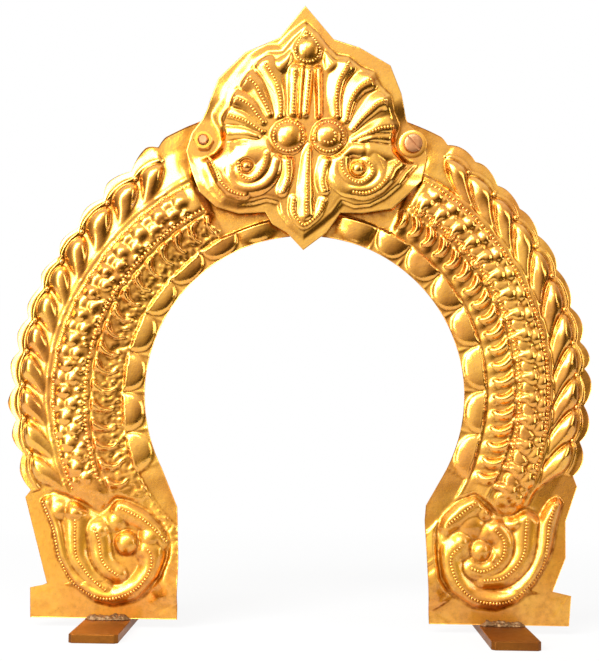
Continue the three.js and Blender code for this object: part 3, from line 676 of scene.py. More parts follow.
def arch_relief(name, x, z):
    """Height of one half's worked face at points (outward, up)."""
    half = HALVES[name]
    angle, radius = polar(x, z)
    height = band_relief(half, x, z, angle, radius)
    # The bands run out over the leg panel, which holds the volute and is plain at its foot
    scroll, cover = volute_relief(name, x, z)
    low = smooth(*LEG_TOP, z) * smooth(60, 90, angle)
    height = height * (1 - cover) * (1 - low * smooth(80, 96, x))
    height = np.maximum(height, scroll)
    corner = smooth(*FOOT_BLANK, z)
    height = height * (1 - corner * (1 - cover))
    for crease in VOLUTES[name]["creases"]:
        distance, _, _ = to_path(x, z, np.array(crease, dtype=float))
        height += 0.3 * np.exp(-(distance / 0.6) ** 2)
    # The sheet is a little wavy, but flat under the screws and on the feet
    seat = smooth(10, 15, screw_distance(x, z)) * smooth(8.5, 12, z)
    height += seat * (0.24 * unevenness(x, z, 7, 4) + 0.4 * unevenness(x, z, 24, 5))
    # The relief stays under the crest, and climbs to its full height beside it
    signed = x * half["side"]
    outside = -inside_by(signed, z, CREST_OUTLINE)
    under = np.maximum(crest_stand(signed, z) - 0.8, 0)
    limit = under + 0.9 * np.clip(outside - 0.8, 0, 20)
    return np.maximum(np.minimum(height, limit), 0.0)


def crest_stand(x, z):
    """How far the crest's back stands off the arch at a point."""
    return SEAT_GAP + CREST_STAND * smooth(12, 29, screw_distance(x, z))


def crest_relief(x, z):
    """Height of the crest's worked face over its flange."""
    inside = inside_by(x, z, CREST_FIELD)
    up = z - CREST_CENTRE_Z
    lean = (0.32 * up - 0.95 * x) / np.maximum(np.hypot(x, up), 1)
    upper_part = smooth(248, 268, z)
    step = 1.2 + 1.2 * upper_part
    field = step * smooth(-2.4 - 4.6 * smooth(0.15, 0.8, lean), 1.2, inside)
    field -= 0.3 * upper_part * np.exp(-((inside - 1.9) / 1.0) ** 2)
    lobes = np.zeros(x.shape)
    trench = np.zeros(x.shape)
    for points, start, end, rise in CREST_LOBES:
        raise_lobe(lobes, x, z, points, 1.2 * start, 1.25 * end, rise, 1.0, 1.15, 1.6, 1.0)
        dig_trench(trench, x, z, points, 1.2, 0.3)
    for points, start, end, rise in CREST_PLAIN_LOBES:
        raise_lobe(lobes, x, z, points, 1.25 * start, 1.25 * end, 1.1 * rise, 0.95, 1.0, 1.8, 0.6)
    for boss in CREST_BOSSES:
        ring = np.hypot(x - boss[0], z - boss[1]) / boss[2]
        lobes *= smooth(0.9, 1.3, ring)
        raise_dome(lobes, x, z, boss, 0.8)
        if boss in RINGED_BOSSES:
            lobes -= 0.6 * np.exp(-((ring - RING_SHARE) / 0.1) ** 2)
    work = smooth(0.5, 3.5, inside)
    clear = smooth(9.5, 15, screw_distance(x, z))
    height = clear * (field + (lobes - trench) * work)
    height += clear * (0.2 * unevenness(x, z, 7, 7) + 0.25 * unevenness(x, z, 24, 8))
    return np.maximum(height, 0.0)


def soften(grid, times):
    """Evens a grid of heights out a little in both directions."""
    for _ in range(times):
        padded = np.pad(grid, 1, mode="edge")
        grid = (padded[1:-1, :-2] + 2 * padded[1:-1, 1:-1] + padded[1:-1, 2:]) / 4
        padded = np.pad(grid, 1, mode="edge")
        grid = (padded[:-2, 1:-1] + 2 * padded[1:-1, 1:-1] + padded[2:, 1:-1]) / 4
    return grid


def tarnish_and_crease_shade(height):
    """Where tarnish gathers and painted shade darkens the creases: 1 in deep creases and narrow
    gaps, under 0 on the high places.
    """
    narrow = soften(height, 3)
    broad = soften(narrow, 10)
    return np.clip(np.maximum((broad - height) / 0.9, (narrow - height) / 0.22), -1, 1)


def lowest_nearby(grid):
    """The lowest of each point and its eight neighbours."""
    padded = np.pad(grid, 1, mode="edge")
    rows, columns = grid.shape
    parts = [padded[i:i + rows, j:j + columns] for i in range(3) for j in range(3)]
    return np.minimum.reduce(parts)


def edge_radius(half, angle):
    """Radius of the scalloped outer edge at each angle."""
    notches = np.array(half["notches"])
    blank_end, blank = half["blank_edge"][-1]
    radius = np.where(angle < blank_end, read_pairs(half["blank_edge"], angle),
                      np.interp(angle, notches[:, 0], notches[:, 1]))
    between = (angle >= blank_end) & (angle < notches[0, 0])
    share = (angle - blank_end) / (notches[0, 0] - blank_end)
    radius = np.where(between, blank + (notches[0, 1] - blank) * share ** 1.5, radius)
    for i, (peak, reach) in enumerate(half["peaks"]):
        (a0, r0), (a1, r1) = notches[i], notches[i + 1]
        cell = (angle >= a0) & (angle <= a1)
        share = np.where(angle < peak, (angle - a0) / (peak - a0), (a1 - angle) / (a1 - peak))
        line = r0 + (r1 - r0) * (angle - a0) / (a1 - a0)
        peak_line = r0 + (r1 - r0) * (peak - a0) / (a1 - a0)
        bump = (reach - peak_line) * (1 - np.clip(1 - share, 0, 1) ** half["roundness"])
        radius = np.where(cell, line + bump, radius)
    return radius


def arch_grid(name, fine):
    """Points of one half in rows round the arch and down the leg."""
    half = HALVES[name]
    last = half["notches"][-1][0]
    blank_end = half["begin"] - 4
    blank_count = int((blank_end - TOP_ANGLE) / (BLANK_STEP * fine)) + 1
    angles = np.concatenate([
        np.linspace(TOP_ANGLE, blank_end, blank_count)[:-1],
        np.linspace(blank_end, last, int((last - blank_end) / (BAND_STEP * fine))),
    ])
    stops = [np.full(angles.shape, OPENING_RADIUS)]
    stops += [read_pairs(half[key], angles) for key in BAND_LINES]
    edge = edge_radius(half, angles)
    stops.append(edge)
    stops[4] = np.minimum(stops[4], edge - 3)
    counts = [int(round(depth / fine)) for depth in BAND_DEPTHS]
    if sum(counts) % 2:
        counts[2] += 1
    columns = []
    for inner, outer, count in zip(stops[:-1], stops[1:], counts):
        columns += [inner + (outer - inner) * i / count for i in range(count)]
    columns.append(stops[-1])
    radius = np.array(columns).T
    turn = np.radians(angles)[:, None]
    x = radius * np.sin(turn)
    z = CENTRE_Z + radius * np.cos(turn)
    shares = (radius[-1] - radius[-1, 0]) / (radius[-1, -1] - radius[-1, 0])
    leg_x, leg_z = leg_grid(half, x, z, shares, fine)
    return np.vstack([x, leg_x]), np.vstack([z, leg_z])


def leg_grid(half, x, z, shares, fine):
    """Points of a leg in rows from the last row of the arch down to the foot."""
    top_in, top_out = z[-1, 0], z[-1, -1]
    rows = int(round((max(top_in, top_out) - SHEET_FOOT) / (LEG_STEP * fine)))
    rows += (len(x) + rows + 1) % 2
    down = leg_shares(half, rows, top_out)
    curve_end = CENTRE_Z + OPENING_RADIUS * math.cos(math.radians(INNER_CURVE_END))
    curve_end_x = OPENING_RADIUS * math.sin(math.radians(INNER_CURVE_END))
    z_in = top_in + (SHEET_FOOT - top_in) * down
    z_out = top_out + (SHEET_FOOT - top_out) * down
    inner = sorted([(up, out) for out, up in half["inner"]] + [(curve_end, curve_end_x)])
    round_in = np.sqrt(np.clip(OPENING_RADIUS ** 2 - (z_in - CENTRE_Z) ** 2, 0, None))
    x_in = np.where(z_in > curve_end, round_in, read_pairs(inner, z_in))
    outer = sorted([(up, out) for out, up in half["outer"]] + [(top_out, x[-1, -1])])
    x_out = read_pairs(outer, z_out)
    leg_x = x_in[:, None] + (x_out - x_in)[:, None] * shares
    leg_z = z_in[:, None] + (z_out - z_in)[:, None] * shares
    return leg_x, leg_z


def leg_shares(half, rows, top_out):
    """Even shares down the leg, with rows on the corners of the notch above the foot."""
    down = np.arange(1, rows + 1) / rows
    for _, corner in half["outer"][-3:-1]:
        share = (top_out - corner) / (top_out - SHEET_FOOT)
        down[np.argmin(np.abs(down - share))] = share
    return down


def link_object(name, data):
    """Puts an object with this data into the scene, at the origin."""
    item = bpy.data.objects.new(name, data)
    bpy.context.scene.collection.objects.link(item)
    return item


def crest_grid(rays, rings):
    """Points of the crest on rays from its centre to its outline."""
    outline = np.array(CREST_OUTLINE, dtype=float) - [0, CREST_CENTRE_Z]
    step = 2 * math.pi / rays
    angles = np.arange(rays) * step - math.pi
    for x, z in outline:
        corner = math.atan2(x, z)
        nearest = int(round((corner + math.pi) / step)) % rays
        angles[nearest] = corner - 2 * math.pi if nearest == 0 and corner > 0 else corner
    reach = np.zeros(rays)
    sin, cos = np.sin(angles), np.cos(angles)
    for (x0, z0), (x1, z1) in zip(outline, np.roll(outline, -1, axis=0)):
        ex, ez = x1 - x0, z1 - z0
        cross = sin * ez - cos * ex
        cross = np.where(np.abs(cross) < 1e-9, 1e-9, cross)
        t = (x0 * ez - z0 * ex) / cross
        s = (x0 * cos - z0 * sin) / cross
        hit = (t > 0) & (s >= -1e-9) & (s <= 1 + 1e-9)
        reach = np.where(hit, np.maximum(reach, t), reach)
    share = np.linspace(0, 1, rings + 1)[1:, None]
    return share * reach * sin, CREST_CENTRE_Z + share * reach * cos


def new_piece(name, vertices, faces, flat_from=None, tarnish_and_shade=None):
    """A mesh object at the origin whose points are given in millimetres. Faces from flat_from
    on are shaded flat."""
    mesh = bpy.data.meshes.new(name)
    mesh.from_pydata((np.asarray(vertices) * MM).tolist(), [], faces)
    smooth_faces = len(faces) if flat_from is None else flat_from
    mesh.polygons.foreach_set("use_smooth", [i < smooth_faces for i in range(len(faces))])
    if tarnish_and_shade is not None:
        layer = mesh.attributes.new("tarnish_and_shade", "FLOAT", "POINT")
        layer.data.foreach_set("value", np.asarray(tarnish_and_shade, dtype=np.float32))
    mesh.update()
    return link_object(name, mesh)


def quads(grid, turned_over=False):
    """Faces between the points of a grid of point numbers."""
    corners = [grid[:-1, :-1], grid[1:, :-1], grid[1:, 1:], grid[:-1, 1:]]
    if turned_over:
        corners = [corners[0], *reversed(corners[1:])]
    return np.stack(corners, axis=-1).reshape(-1, 4).tolist()


def dress(piece, material, node):
    """Gives a piece its finish and its body, and hides the CAD node that it stands for."""
    piece.data.materials.clear()
    piece.data.materials.append(material)
    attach(piece, "root")
    if node:
        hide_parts(node)


def shell(x, z, front_y, back_y, wrap):
    """The two skins of a sheet from grids of points: a fine front one, and a back one of half
    the fineness. Gives their points, their faces and the grids of their point numbers."""
    rows, columns = x.shape
    coarse_rows = np.arange(1 if wrap and rows % 2 == 0 else 0, rows, 2)
    if coarse_rows[-1] != rows - 1:
        coarse_rows = np.append(coarse_rows, rows - 1)
    pick = np.ix_(coarse_rows, np.arange(0, columns, 2))
    fine = np.dstack([x, front_y, z])
    coarse = np.dstack([x[pick], back_y[pick], z[pick]])
    front = np.arange(x.size).reshape(x.shape)
    back = x.size + np.arange(x[pick].size).reshape(x[pick].shape)
    if wrap:
        front, back = (np.hstack([grid, grid[:, :1]]) for grid in (front, back))
    points = np.vstack([fine.reshape(-1, 3), coarse.reshape(-1, 3)])
    return points, quads(front) + quads(back, True), front, back


def stitch(fine_edge, coarse_edge, faces):
    """Joins a fine edge to a coarse one that has a point at every second of its points."""
    fine_edge, coarse_edge = fine_edge.tolist(), coarse_edge.tolist()
    for k in range(0, len(fine_edge) - 1, 2):
        a, b, c = fine_edge[k], fine_edge[k + 1], fine_edge[min(k + 2, len(fine_edge) - 1)]
        lo, hi = coarse_edge[k // 2], coarse_edge[k // 2 + 1]
        faces.append((a, lo, b))
        faces.append((b, lo, hi))
        if c != b:
            faces.append((b, hi, c))


def facing_out(vertices, faces):
    """The faces of a closed body, turned round where they point inward."""
    volume = 0.0
    for size in {len(face) for face in faces}:
        corners = vertices[np.array([face for face in faces if len(face) == size])]
        for k in range(1, size - 1):
            volume += np.sum(corners[:, 0] * np.cross(corners[:, k], corners[:, k + 1]))
    if volume < 0:
        return [tuple(reversed(face)) for face in faces]
    return faces


def sheet_piece(name, points, faces, rim, tarnish_and_shade, material, node):
    """Makes a beaten sheet of its skins and rim. Only the front skin carries the tarnish and
    painted shade.
    """
    flags = np.concatenate([tarnish_and_shade.ravel(), np.zeros(len(points) - tarnish_and_shade.size)])
    piece = new_piece(name, points, facing_out(points, faces), rim, flags)
    dress(piece, material, node)


def build_arch_half(name, sizes, material):
    """Builds one half of the arch, with tarnish and painted shade in its hollows and along its bead
    rows, and a painted shadow of the crest, mixed with tarnish, beside the crest."""
    half = HALVES[name]
    x, z = arch_grid(name, sizes.fineness / MM)
    height = soften(arch_relief(name, x, z), 1)
    thick = sizes.arch_sheet / MM
    rows = [lobe[0] for lobe in VOLUTES[name]["lobes"]]
    # Tarnish with painted shade: darker in creases, narrow gaps and along the bead rows
    tarnish_and_shade = np.maximum(tarnish_and_crease_shade(height), ROW_TARNISH_AND_SHADE * row_tarnish_and_shade(x, z, rows))
    # Painted shadow of the crest plate, mixed with tarnish, darkens the arch within about 11 mm of
    # the crest's edge
    crest_shadow_distance = -inside_by(half["side"] * x, z, CREST_OUTLINE)
    tarnish_and_shade = np.maximum(tarnish_and_shade, 0.6 * smooth(11, 1, crest_shadow_distance))
    points, faces, front, back = shell(
        ARCH_X + half["side"] * x, z, -(thick + height), -lowest_nearby(height), False)
    rim = len(faces)
    stitch(front[0], back[0], faces)
    stitch(front[-1, ::-1], back[-1, ::-1], faces)
    stitch(front[::-1, 0], back[::-1, 0], faces)
    stitch(front[:, -1], back[:, -1], faces)
    sheet_piece(f"arch_{name}_sheet", points, faces, rim, tarnish_and_shade, material, f"arch_{name}")


def on_wrapped(work, grid, margin, *more):
    """Does work on a grid of rays with the rays beyond its first and last one repeated."""
    padded = np.hstack([grid[:, -margin:], grid, grid[:, :margin]])
    return work(padded, *more)[:, margin:-margin]


def build_crest(sizes, material):
    """Builds the crest plate, with tarnish and painted shade in its hollows and along its bead
    rows, and painted shade on the right and lower side of its ringed bosses.
    """
    fine = sizes.fineness / MM
    x, z = crest_grid(2 * int(round(CREST_RAYS / fine)), 2 * int(round(CREST_RINGS / fine)))
    relief = on_wrapped(soften, crest_relief(x, z), 14, 1)
    # Tarnish with painted shade: darker in creases, narrow gaps and along the bead rows
    tarnish_and_shade = on_wrapped(tarnish_and_crease_shade, relief, 14)
    rows = [lobe[0] for lobe in CREST_LOBES]
    tarnish_and_shade = np.maximum(tarnish_and_shade, ROW_TARNISH_AND_SHADE * row_tarnish_and_shade(x, z, rows))
    # Painted shade: the right and lower side of each ringed boss, away from the upper left, is
    # darkened
    for boss in RINGED_BOSSES:
        across, up = (x - boss[0]) / boss[2], (z - boss[1]) / boss[2]
        painted_boss_shade = smooth(1.0, 0.85, np.hypot(across, up)) * smooth(-0.45, 0.25, across - 0.6 * up)
        tarnish_and_shade = np.maximum(tarnish_and_shade, 0.5 * painted_boss_shade)
    back_level = -sizes.arch_sheet / MM - crest_stand(x, z)
    thick = sizes.crest_sheet / MM
    lowest = on_wrapped(lowest_nearby, relief, 1)
    points, faces, front, back = shell(
        ARCH_X + x, z, back_level - relief - thick, back_level - lowest, True)
    centre = len(points)
    centre_y = float(np.mean((back_level - relief)[0]))
    points = np.vstack([points, [[ARCH_X, centre_y - thick, CREST_CENTRE_Z],
                                 [ARCH_X, centre_y, CREST_CENTRE_Z]]])
    inner, inner_back = front[0].tolist(), back[0].tolist()
    faces += [(centre, a, b) for a, b in zip(inner[:-1], inner[1:])]
    faces += [(centre + 1, b, a) for a, b in zip(inner_back[:-1], inner_back[1:])]
    rim = len(faces)
    stitch(front[-1], back[-1], faces)
    sheet_piece("crest_sheet", points, faces, rim, tarnish_and_shade, material, "crest_plate")


class Tree:
    """Adds nodes to a node tree by short calls."""

    def __init__(self, tree):
        self.tree = tree

    def feed(self, socket, value):
        """Links an output to an input, or sets the input's own value."""
        if isinstance(value, bpy.types.NodeSocket):
            self.tree.links.new(value, socket)
        else:
            socket.default_value = value

    def add(self, kind, inputs=None, **settings):
        """Adds a node with its settings, and feeds its inputs by name or number."""
        node = self.tree.nodes.new(kind)
        for key, value in settings.items():
            setattr(node, key, value)
        for key, value in (inputs or {}).items():
            self.feed(node.inputs[key], value)
        return node

    def maths(self, operation, *values):
        """The result of a sum on outputs or numbers."""
        inputs = dict(enumerate(values))
        return self.add("ShaderNodeMath", inputs, operation=operation).outputs[0]

    def mix_colour(self, share, first, second):
        """Mixes two colours, each an output or three numbers."""
        colours = [value if isinstance(value, bpy.types.NodeSocket) else (*value, 1.0)
                   for value in (first, second)]
        return self.add("ShaderNodeMix", {0: share, 6: colours[0], 7: colours[1]},
                        data_type="RGBA").outputs[2]

    def ramp(self, value, low, high):
        """A rise from 0 to 1 while a value goes from low to high."""
        return self.add("ShaderNodeMapRange",
                        {"Value": value, "From Min": low, "From Max": high}).outputs[0]

    def noise(self, spot, scale, detail, roughness=0.5):
        """Even noise over the surface."""
        return self.add("ShaderNodeTexNoise", {"Vector": spot, "Scale": scale, "Detail": detail,
                                               "Roughness": roughness}).outputs[0]


def new_material(name):
    """A material with no nodes yet, and the Tree to add them with."""
    material = bpy.data.materials.new(name)
    material.use_nodes = True
    material.node_tree.nodes.clear()
    return material, Tree(material.node_tree)


def metal_finish(name, colour, warm, tarnish_and_shade_colour, roughness, grime_and_shade=1.0, coat=1.0, grain=1.0,
                 dulled_and_shaded=0.0):
    """Worked metal: uneven colour, tarnish with painted shade in the hollows, fine pits and a soft
    bump.
    The last argument says how far the metal near the table is rougher and darkened by painted
    shade."""
    material, tree = new_material(name)
    spot = tree.add("ShaderNodeTexCoord").outputs["Object"]
    broad = tree.noise(spot, 28.0, 4.0)
    fine = tree.noise(spot, 260.0, 6.0, 0.65)
    dents = tree.noise(spot, 420.0, 3.0)
    pits = tree.noise(spot, 1100.0, 2.0)
    patch = tree.ramp(fine, 0.35, 0.62)

    # Tarnish and painted crease shade lie in the hollows, dirt in spots, and painted shade near the
    # table
    tarnish_and_shade = tree.add("ShaderNodeAttribute", attribute_name="tarnish_and_shade").outputs["Fac"]
    dirt_and_shade = tree.maths("MULTIPLY", tree.ramp(tarnish_and_shade, 0.05, 0.75),
                      tree.maths("MULTIPLY_ADD", patch, 0.55, 0.45))
    spots = tree.maths("MULTIPLY", tree.ramp(broad, 0.52, 0.66), tree.ramp(fine, 0.54, 0.66))
    dirt_and_shade = tree.maths("MAXIMUM", dirt_and_shade, tree.maths("MULTIPLY", spots, 0.35))
    dirt_and_shade = tree.maths("MULTIPLY", dirt_and_shade, grime_and_shade)
    # Painted shade near the table, for the light that falls off towards the feet; the metal there
    # is rougher too
    up = tree.add("ShaderNodeSeparateXYZ", {"Vector": spot}).outputs["Z"]
    low = tree.maths("MULTIPLY", tree.ramp(up, 0.115, 0.06), dulled_and_shaded)
    low_painted_shade = tree.maths("MULTIPLY", low, tree.maths("MULTIPLY_ADD", patch, 0.3, 0.08))
    dirt_and_shade = tree.maths("MAXIMUM", dirt_and_shade, low_painted_shade)

    base = tree.mix_colour(tree.ramp(broad, 0.38, 0.62), colour, warm)
    mottle = tree.maths("MULTIPLY", tree.ramp(fine, 0.5, 0.7), 0.45)
    base = tree.mix_colour(mottle, base, tuple(0.72 * c for c in warm))
    # Tarnish, dirt and painted shade darken the base colour towards the tarnish colour
    base = tree.mix_colour(dirt_and_shade, base, tarnish_and_shade_colour)
    specks = tree.maths("MULTIPLY", tree.ramp(pits, 0.62, 0.72), dirt_and_shade)
    base = tree.mix_colour(specks, base, tuple(0.35 * c for c in tarnish_and_shade_colour))
    rough = tree.maths("MULTIPLY_ADD", dirt_and_shade, 0.22, roughness)
    rough = tree.maths("MULTIPLY_ADD", patch, 0.05, rough)
    rough = tree.maths("MULTIPLY_ADD", low, 0.12, rough)
    relief = tree.maths("MULTIPLY_ADD", dents, 0.8, tree.maths("MULTIPLY", pits, 0.3))
    bump = tree.add("ShaderNodeBump", {"Height": relief, "Strength": 0.25 * grain,
                                       "Distance": 0.0005})
    clean = tree.maths("MULTIPLY", tree.maths("SUBTRACT", 1.0, dirt_and_shade), coat) if coat else 0.0
    shader = tree.add("ShaderNodeBsdfPrincipled", {
        "Base Color": base, "Metallic": 1.0, "Roughness": rough, "Normal": bump.outputs[0],
        "Coat Weight": clean, "Coat Roughness": 0.14, "Coat IOR": 1.7})
    tree.add("ShaderNodeOutputMaterial", {"Surface": shader.outputs[0]})
    return material


def finish(slot, settings):
    """The finish for a slot, made once."""
    name = slot + "_finish"
    if name in bpy.data.materials:
        return bpy.data.materials[name]
    clean = {"colour": tuple(settings.brass), "warm": tuple(settings.warm_brass),
             "tarnish_and_shade_colour": tuple(settings.tarnish_and_shade_colour)}
    # Each kind may scale its tarnish, dirt and painted shade, and beaten brass is rougher and
    # darkened by painted shade near the table
    kinds = {
        "beaten_brass": {**clean, "roughness": 0.15, "dulled_and_shaded": 1.0},
        "bar_brass": {**clean, "colour": tuple(settings.bar_brass), "warm": (0.2, 0.065, 0.012),
                      "roughness": 0.42, "grime_and_shade": 1.4, "coat": 0.0},
        "solder": {"colour": (0.26, 0.18, 0.11), "warm": (0.24, 0.13, 0.05),
                   "tarnish_and_shade_colour": (0.08, 0.04, 0.016), "roughness": 0.55, "grime_and_shade": 1.3,
                   "coat": 0.0, "grain": 2.5},
        "copper_screw": {"colour": tuple(settings.copper), "warm": (0.6, 0.3, 0.14),
                         "tarnish_and_shade_colour": (0.2, 0.08, 0.04), "roughness": 0.38, "coat": 0.1},
        "hardware_brass": {**clean, "roughness": 0.3},
    }
    return metal_finish(name, **kinds[slot])


def bead_tree():
    """A tree that sets small beads along every path of a mesh of edges."""
    group = bpy.data.node_groups.new("punched_beads", "GeometryNodeTree")
    inputs = {"Paths": "Geometry", "Spacing": "Float", "Bead Radius": "Float", "Across": "Float",
              "Height": "Float", "Unevenness": "Float", "Finish": "Material"}
    for name, kind in inputs.items():
        group.interface.new_socket(name, in_out="INPUT", socket_type=f"NodeSocket{kind}")
    group.interface.new_socket("Beads", in_out="OUTPUT", socket_type="NodeSocketGeometry")
    tree = Tree(group)
    entry = tree.add("NodeGroupInput").outputs
    curve = tree.add("GeometryNodeMeshToCurve", {"Mesh": entry["Paths"]})
    points = tree.add("GeometryNodeCurveToPoints",
                      {"Curve": curve.outputs[0], "Length": entry["Spacing"]}, mode="LENGTH")
    bead = tree.add("GeometryNodeMeshUVSphere",
                    {"Segments": 8, "Rings": 5, "Radius": entry["Bead Radius"]})
    rounded = tree.add("GeometryNodeSetShadeSmooth", {0: bead.outputs[0]})
    low = tree.maths("SUBTRACT", 1.0, entry["Unevenness"])
    high = tree.maths("ADD", 1.0, entry["Unevenness"])
    vary = tree.add("FunctionNodeRandomValue", data_type="FLOAT")
    vary.inputs["Seed"].default_value = 11
    tree.feed(vary.inputs[2], low)
    tree.feed(vary.inputs[3], high)
    size = vary.outputs[1]
    scale = tree.add("ShaderNodeCombineXYZ", {
        "X": tree.maths("MULTIPLY", size, entry["Across"]),
        "Y": tree.maths("MULTIPLY", size, entry["Height"]), "Z": size})
    way = tree.add("ShaderNodeSeparateXYZ", {"Vector": points.outputs["Tangent"]}).outputs
    turn = tree.add("ShaderNodeCombineXYZ", {"Y": tree.maths("ARCTAN2", way["X"], way["Z"])})
    placed = tree.add("GeometryNodeInstanceOnPoints", {
        "Points": points.outputs["Points"], "Instance": rounded.outputs[0],
        "Rotation": turn.outputs[0], "Scale": scale.outputs[0]})
    real = tree.add("GeometryNodeRealizeInstances", {"Geometry": placed.outputs[0]})
    coated = tree.add("GeometryNodeSetMaterial",
                      {"Geometry": real.outputs[0], "Material": entry["Finish"]})
    tree.add("NodeGroupOutput", {"Beads": coated.outputs[0]})
    return group


def run_tree(name, paths, group, values):
    """Runs a tree on paths given in metres and returns its result as a plain mesh."""
    points, edges = [], []
    for path in paths:
        first = len(points)
        points += [tuple(p) for p in path]
        edges += [(first + i, first + i + 1) for i in range(len(path) - 1)]
    mesh = bpy.data.meshes.new(name + "_paths")
    mesh.from_pydata(points, edges, [])
    carrier = link_object(name + "_paths", mesh)
    modifier = carrier.modifiers.new("beads", "NODES")
    modifier.node_group = group
    for item in group.interface.items_tree:
        if item.in_out == "INPUT" and item.name in values:
            modifier[item.identifier] = values[item.name]
    depsgraph = bpy.context.evaluated_depsgraph_get()
    result = bpy.data.meshes.new_from_object(carrier.evaluated_get(depsgraph))
    carrier.modifiers.remove(modifier)
    bpy.data.objects.remove(carrier)
    return result


def on_arch(name, points, sheets, sink=BEAD_SINK):
    """Lays a path on the front of one half, in metres."""
    half = HALVES[name]
    pts = even_curve(points, 0.8) if len(points) > 2 else np.array(points, dtype=float)
    height = arch_relief(name, pts[:, 0], pts[:, 1])
    y = -(sheets.arch_sheet / MM + height - sink)
    return np.column_stack([ARCH_X + half["side"] * pts[:, 0], y, pts[:, 1]]) * MM


def on_crest(points, sheets):
    """Lays a path on the front of the crest, in metres."""
    pts = even_curve(points, 0.8)
    x, z = pts[:, 0], pts[:, 1]
    sheet = (sheets.arch_sheet + sheets.crest_sheet) / MM
    y = -(sheet + crest_stand(x, z) + crest_relief(x, z) - BEAD_SINK)
    return np.column_stack([ARCH_X + x, y, z]) * MM


def joined(name, meshes):
    """Joins meshes into one object at the origin."""
    vertices, faces = [], []
    for mesh in meshes:
        first = len(vertices)
        vertices += [tuple(v.co) for v in mesh.vertices]
        faces += [tuple(first + i for i in p.vertices) for p in mesh.polygons]
        bpy.data.meshes.remove(mesh)
    result = bpy.data.meshes.new(name)
    result.from_pydata(vertices, [], faces)
    result.polygons.foreach_set("use_smooth", [True] * len(faces))
    return link_object(name, result)


def round_path(x, z, radius, count=40):
    """Points on a circle, from its top round to its top."""
    turns = np.linspace(0, 2 * math.pi, count)
    return [(x + radius * math.sin(t), z + radius * math.cos(t)) for t in turns]


def build_beads(sizes, sheets, material):
    """Sets the punched beads of both halves and of the crest."""
    group = bead_tree()
    small = {"Spacing": sizes.spacing, "Bead Radius": sizes.radius, "Across": sizes.stroke,
             "Height": SMALL_BEAD_HEIGHT, "Unevenness": sizes.unevenness, "Finish": material}
    big = {**small, "Spacing": sizes.row_spacing, "Bead Radius": sizes.row_radius,
           "Across": ROW_BEAD_STROKE, "Height": 1.0}
    knob = {**small, "Spacing": 0.01, "Bead Radius": KNOB_RADIUS * MM, "Across": 1.0}
    for name, half in HALVES.items():
        strokes = [on_arch(name, lobe[0], sheets) for lobe in VOLUTES[name]["lobes"]]
        rows = [on_arch(name, bead_row(half, share), sheets) for share in ROW_SHARES]
        joints = [on_arch(name, knob_ends(half, start), sheets, KNOB_SINK)
                  for start in half["leaves"][:-1]]
        meshes = [run_tree("strokes", strokes, group, small), run_tree("rows", rows, group, big),
                  run_tree("joints", joints, group, knob)]
        dress(joined(f"arch_{name}_beads", meshes), material, None)
    strokes = [on_crest(path, sheets) for path in crest_bead_paths()]
    piece = joined("crest_beads", [run_tree("crest", strokes, group, small)])
    dress(piece, material, None)


def bead_row(half, share):
    """A path along the bossed band at a share of its depth."""
    angles = np.arange(half["begin"] + 2, half["notches"][-1][0] + 3, 0.6)
    inner = read_pairs(half["curl_line"], angles)
    outer = read_pairs(half["boss_line"], angles)
    return [place(a, r) for a, r in zip(angles, inner + share * (outer - inner))]


def knob_ends(half, start):
    """A path as short as one bead, where two leaves meet."""
    radius = float(read_pairs(half["boss_line"], start)) * (1 - KNOB_SHARE)
    radius += float(read_pairs(half["head_line"], start)) * KNOB_SHARE
    return [place(start - 0.2, radius), place(start + 0.2, radius)]


def crest_bead_paths():
    """The bead rows of the crest: on its lobes, round its bosses, and round its drop."""
    paths = [lobe[0] for lobe in CREST_LOBES]
    left, right, drop = RINGED_BOSSES
    for boss in (left, right):
        paths.append(round_path(boss[0], boss[1], RING_SHARE * boss[2]))
    paths.append(round_path(right[0], right[1], 0.38 * right[2])[4:24])
    ring = np.array(round_path(drop[0], drop[1], RING_SHARE * drop[2]))
    above = np.clip(ring[:, 1] - drop[1], 0, None) / (RING_SHARE * drop[2])
    ring[:, 0] = drop[0] + (ring[:, 0] - drop[0]) * (1 - 0.35 * above) - 0.6 * above
    ring[:, 1] += 3.4 * above ** 2
    return paths + [ring]


def tube_faces(rings, count, cap):
    """Faces of a tube of rings, closed by caps or by joining its last ring to its first."""
    faces = []
    for i in range(rings - 1 if cap else rings):
        this, following = i * count, (i + 1) % rings * count
        for j in range(count):
            k = (j + 1) % count
            faces.append((this + j, this + k, following + k, following + j))
    if cap:
        faces.append(tuple(range(count)))
        faces.append(tuple(reversed(range((rings - 1) * count, rings * count))))
    return faces


def turned(name, rings, centre, cap=True):
    """A closed body turned about an axis along Y. Each ring is (y, radii round it), from the
    front pole to the back one, all in millimetres."""
    count = len(rings[0][1])
    turns = np.arange(count) * 2 * math.pi / count
    points = np.vstack([
        np.column_stack([centre[0] + radii * np.sin(turns), np.full(count, y),
                         centre[1] + radii * np.cos(turns)]) for y, radii in rings])
    return new_piece(name, points, facing_out(points, tube_faces(len(rings), count, cap)))


def keep_crisp(piece, degrees):
    """Keeps edges that turn by more than this sharp in the shading."""
    split = piece.modifiers.new("crisp_edges", "EDGE_SPLIT")
    split.split_angle = math.radians(degrees)


def main_sizes(node):
    """A node's centre as (x, z), and where it begins and ends in depth, in millimetres."""
    low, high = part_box(node)
    return ((low.x + high.x) / 2 / MM, (low.z + high.z) / 2 / MM), low.y / MM, high.y / MM


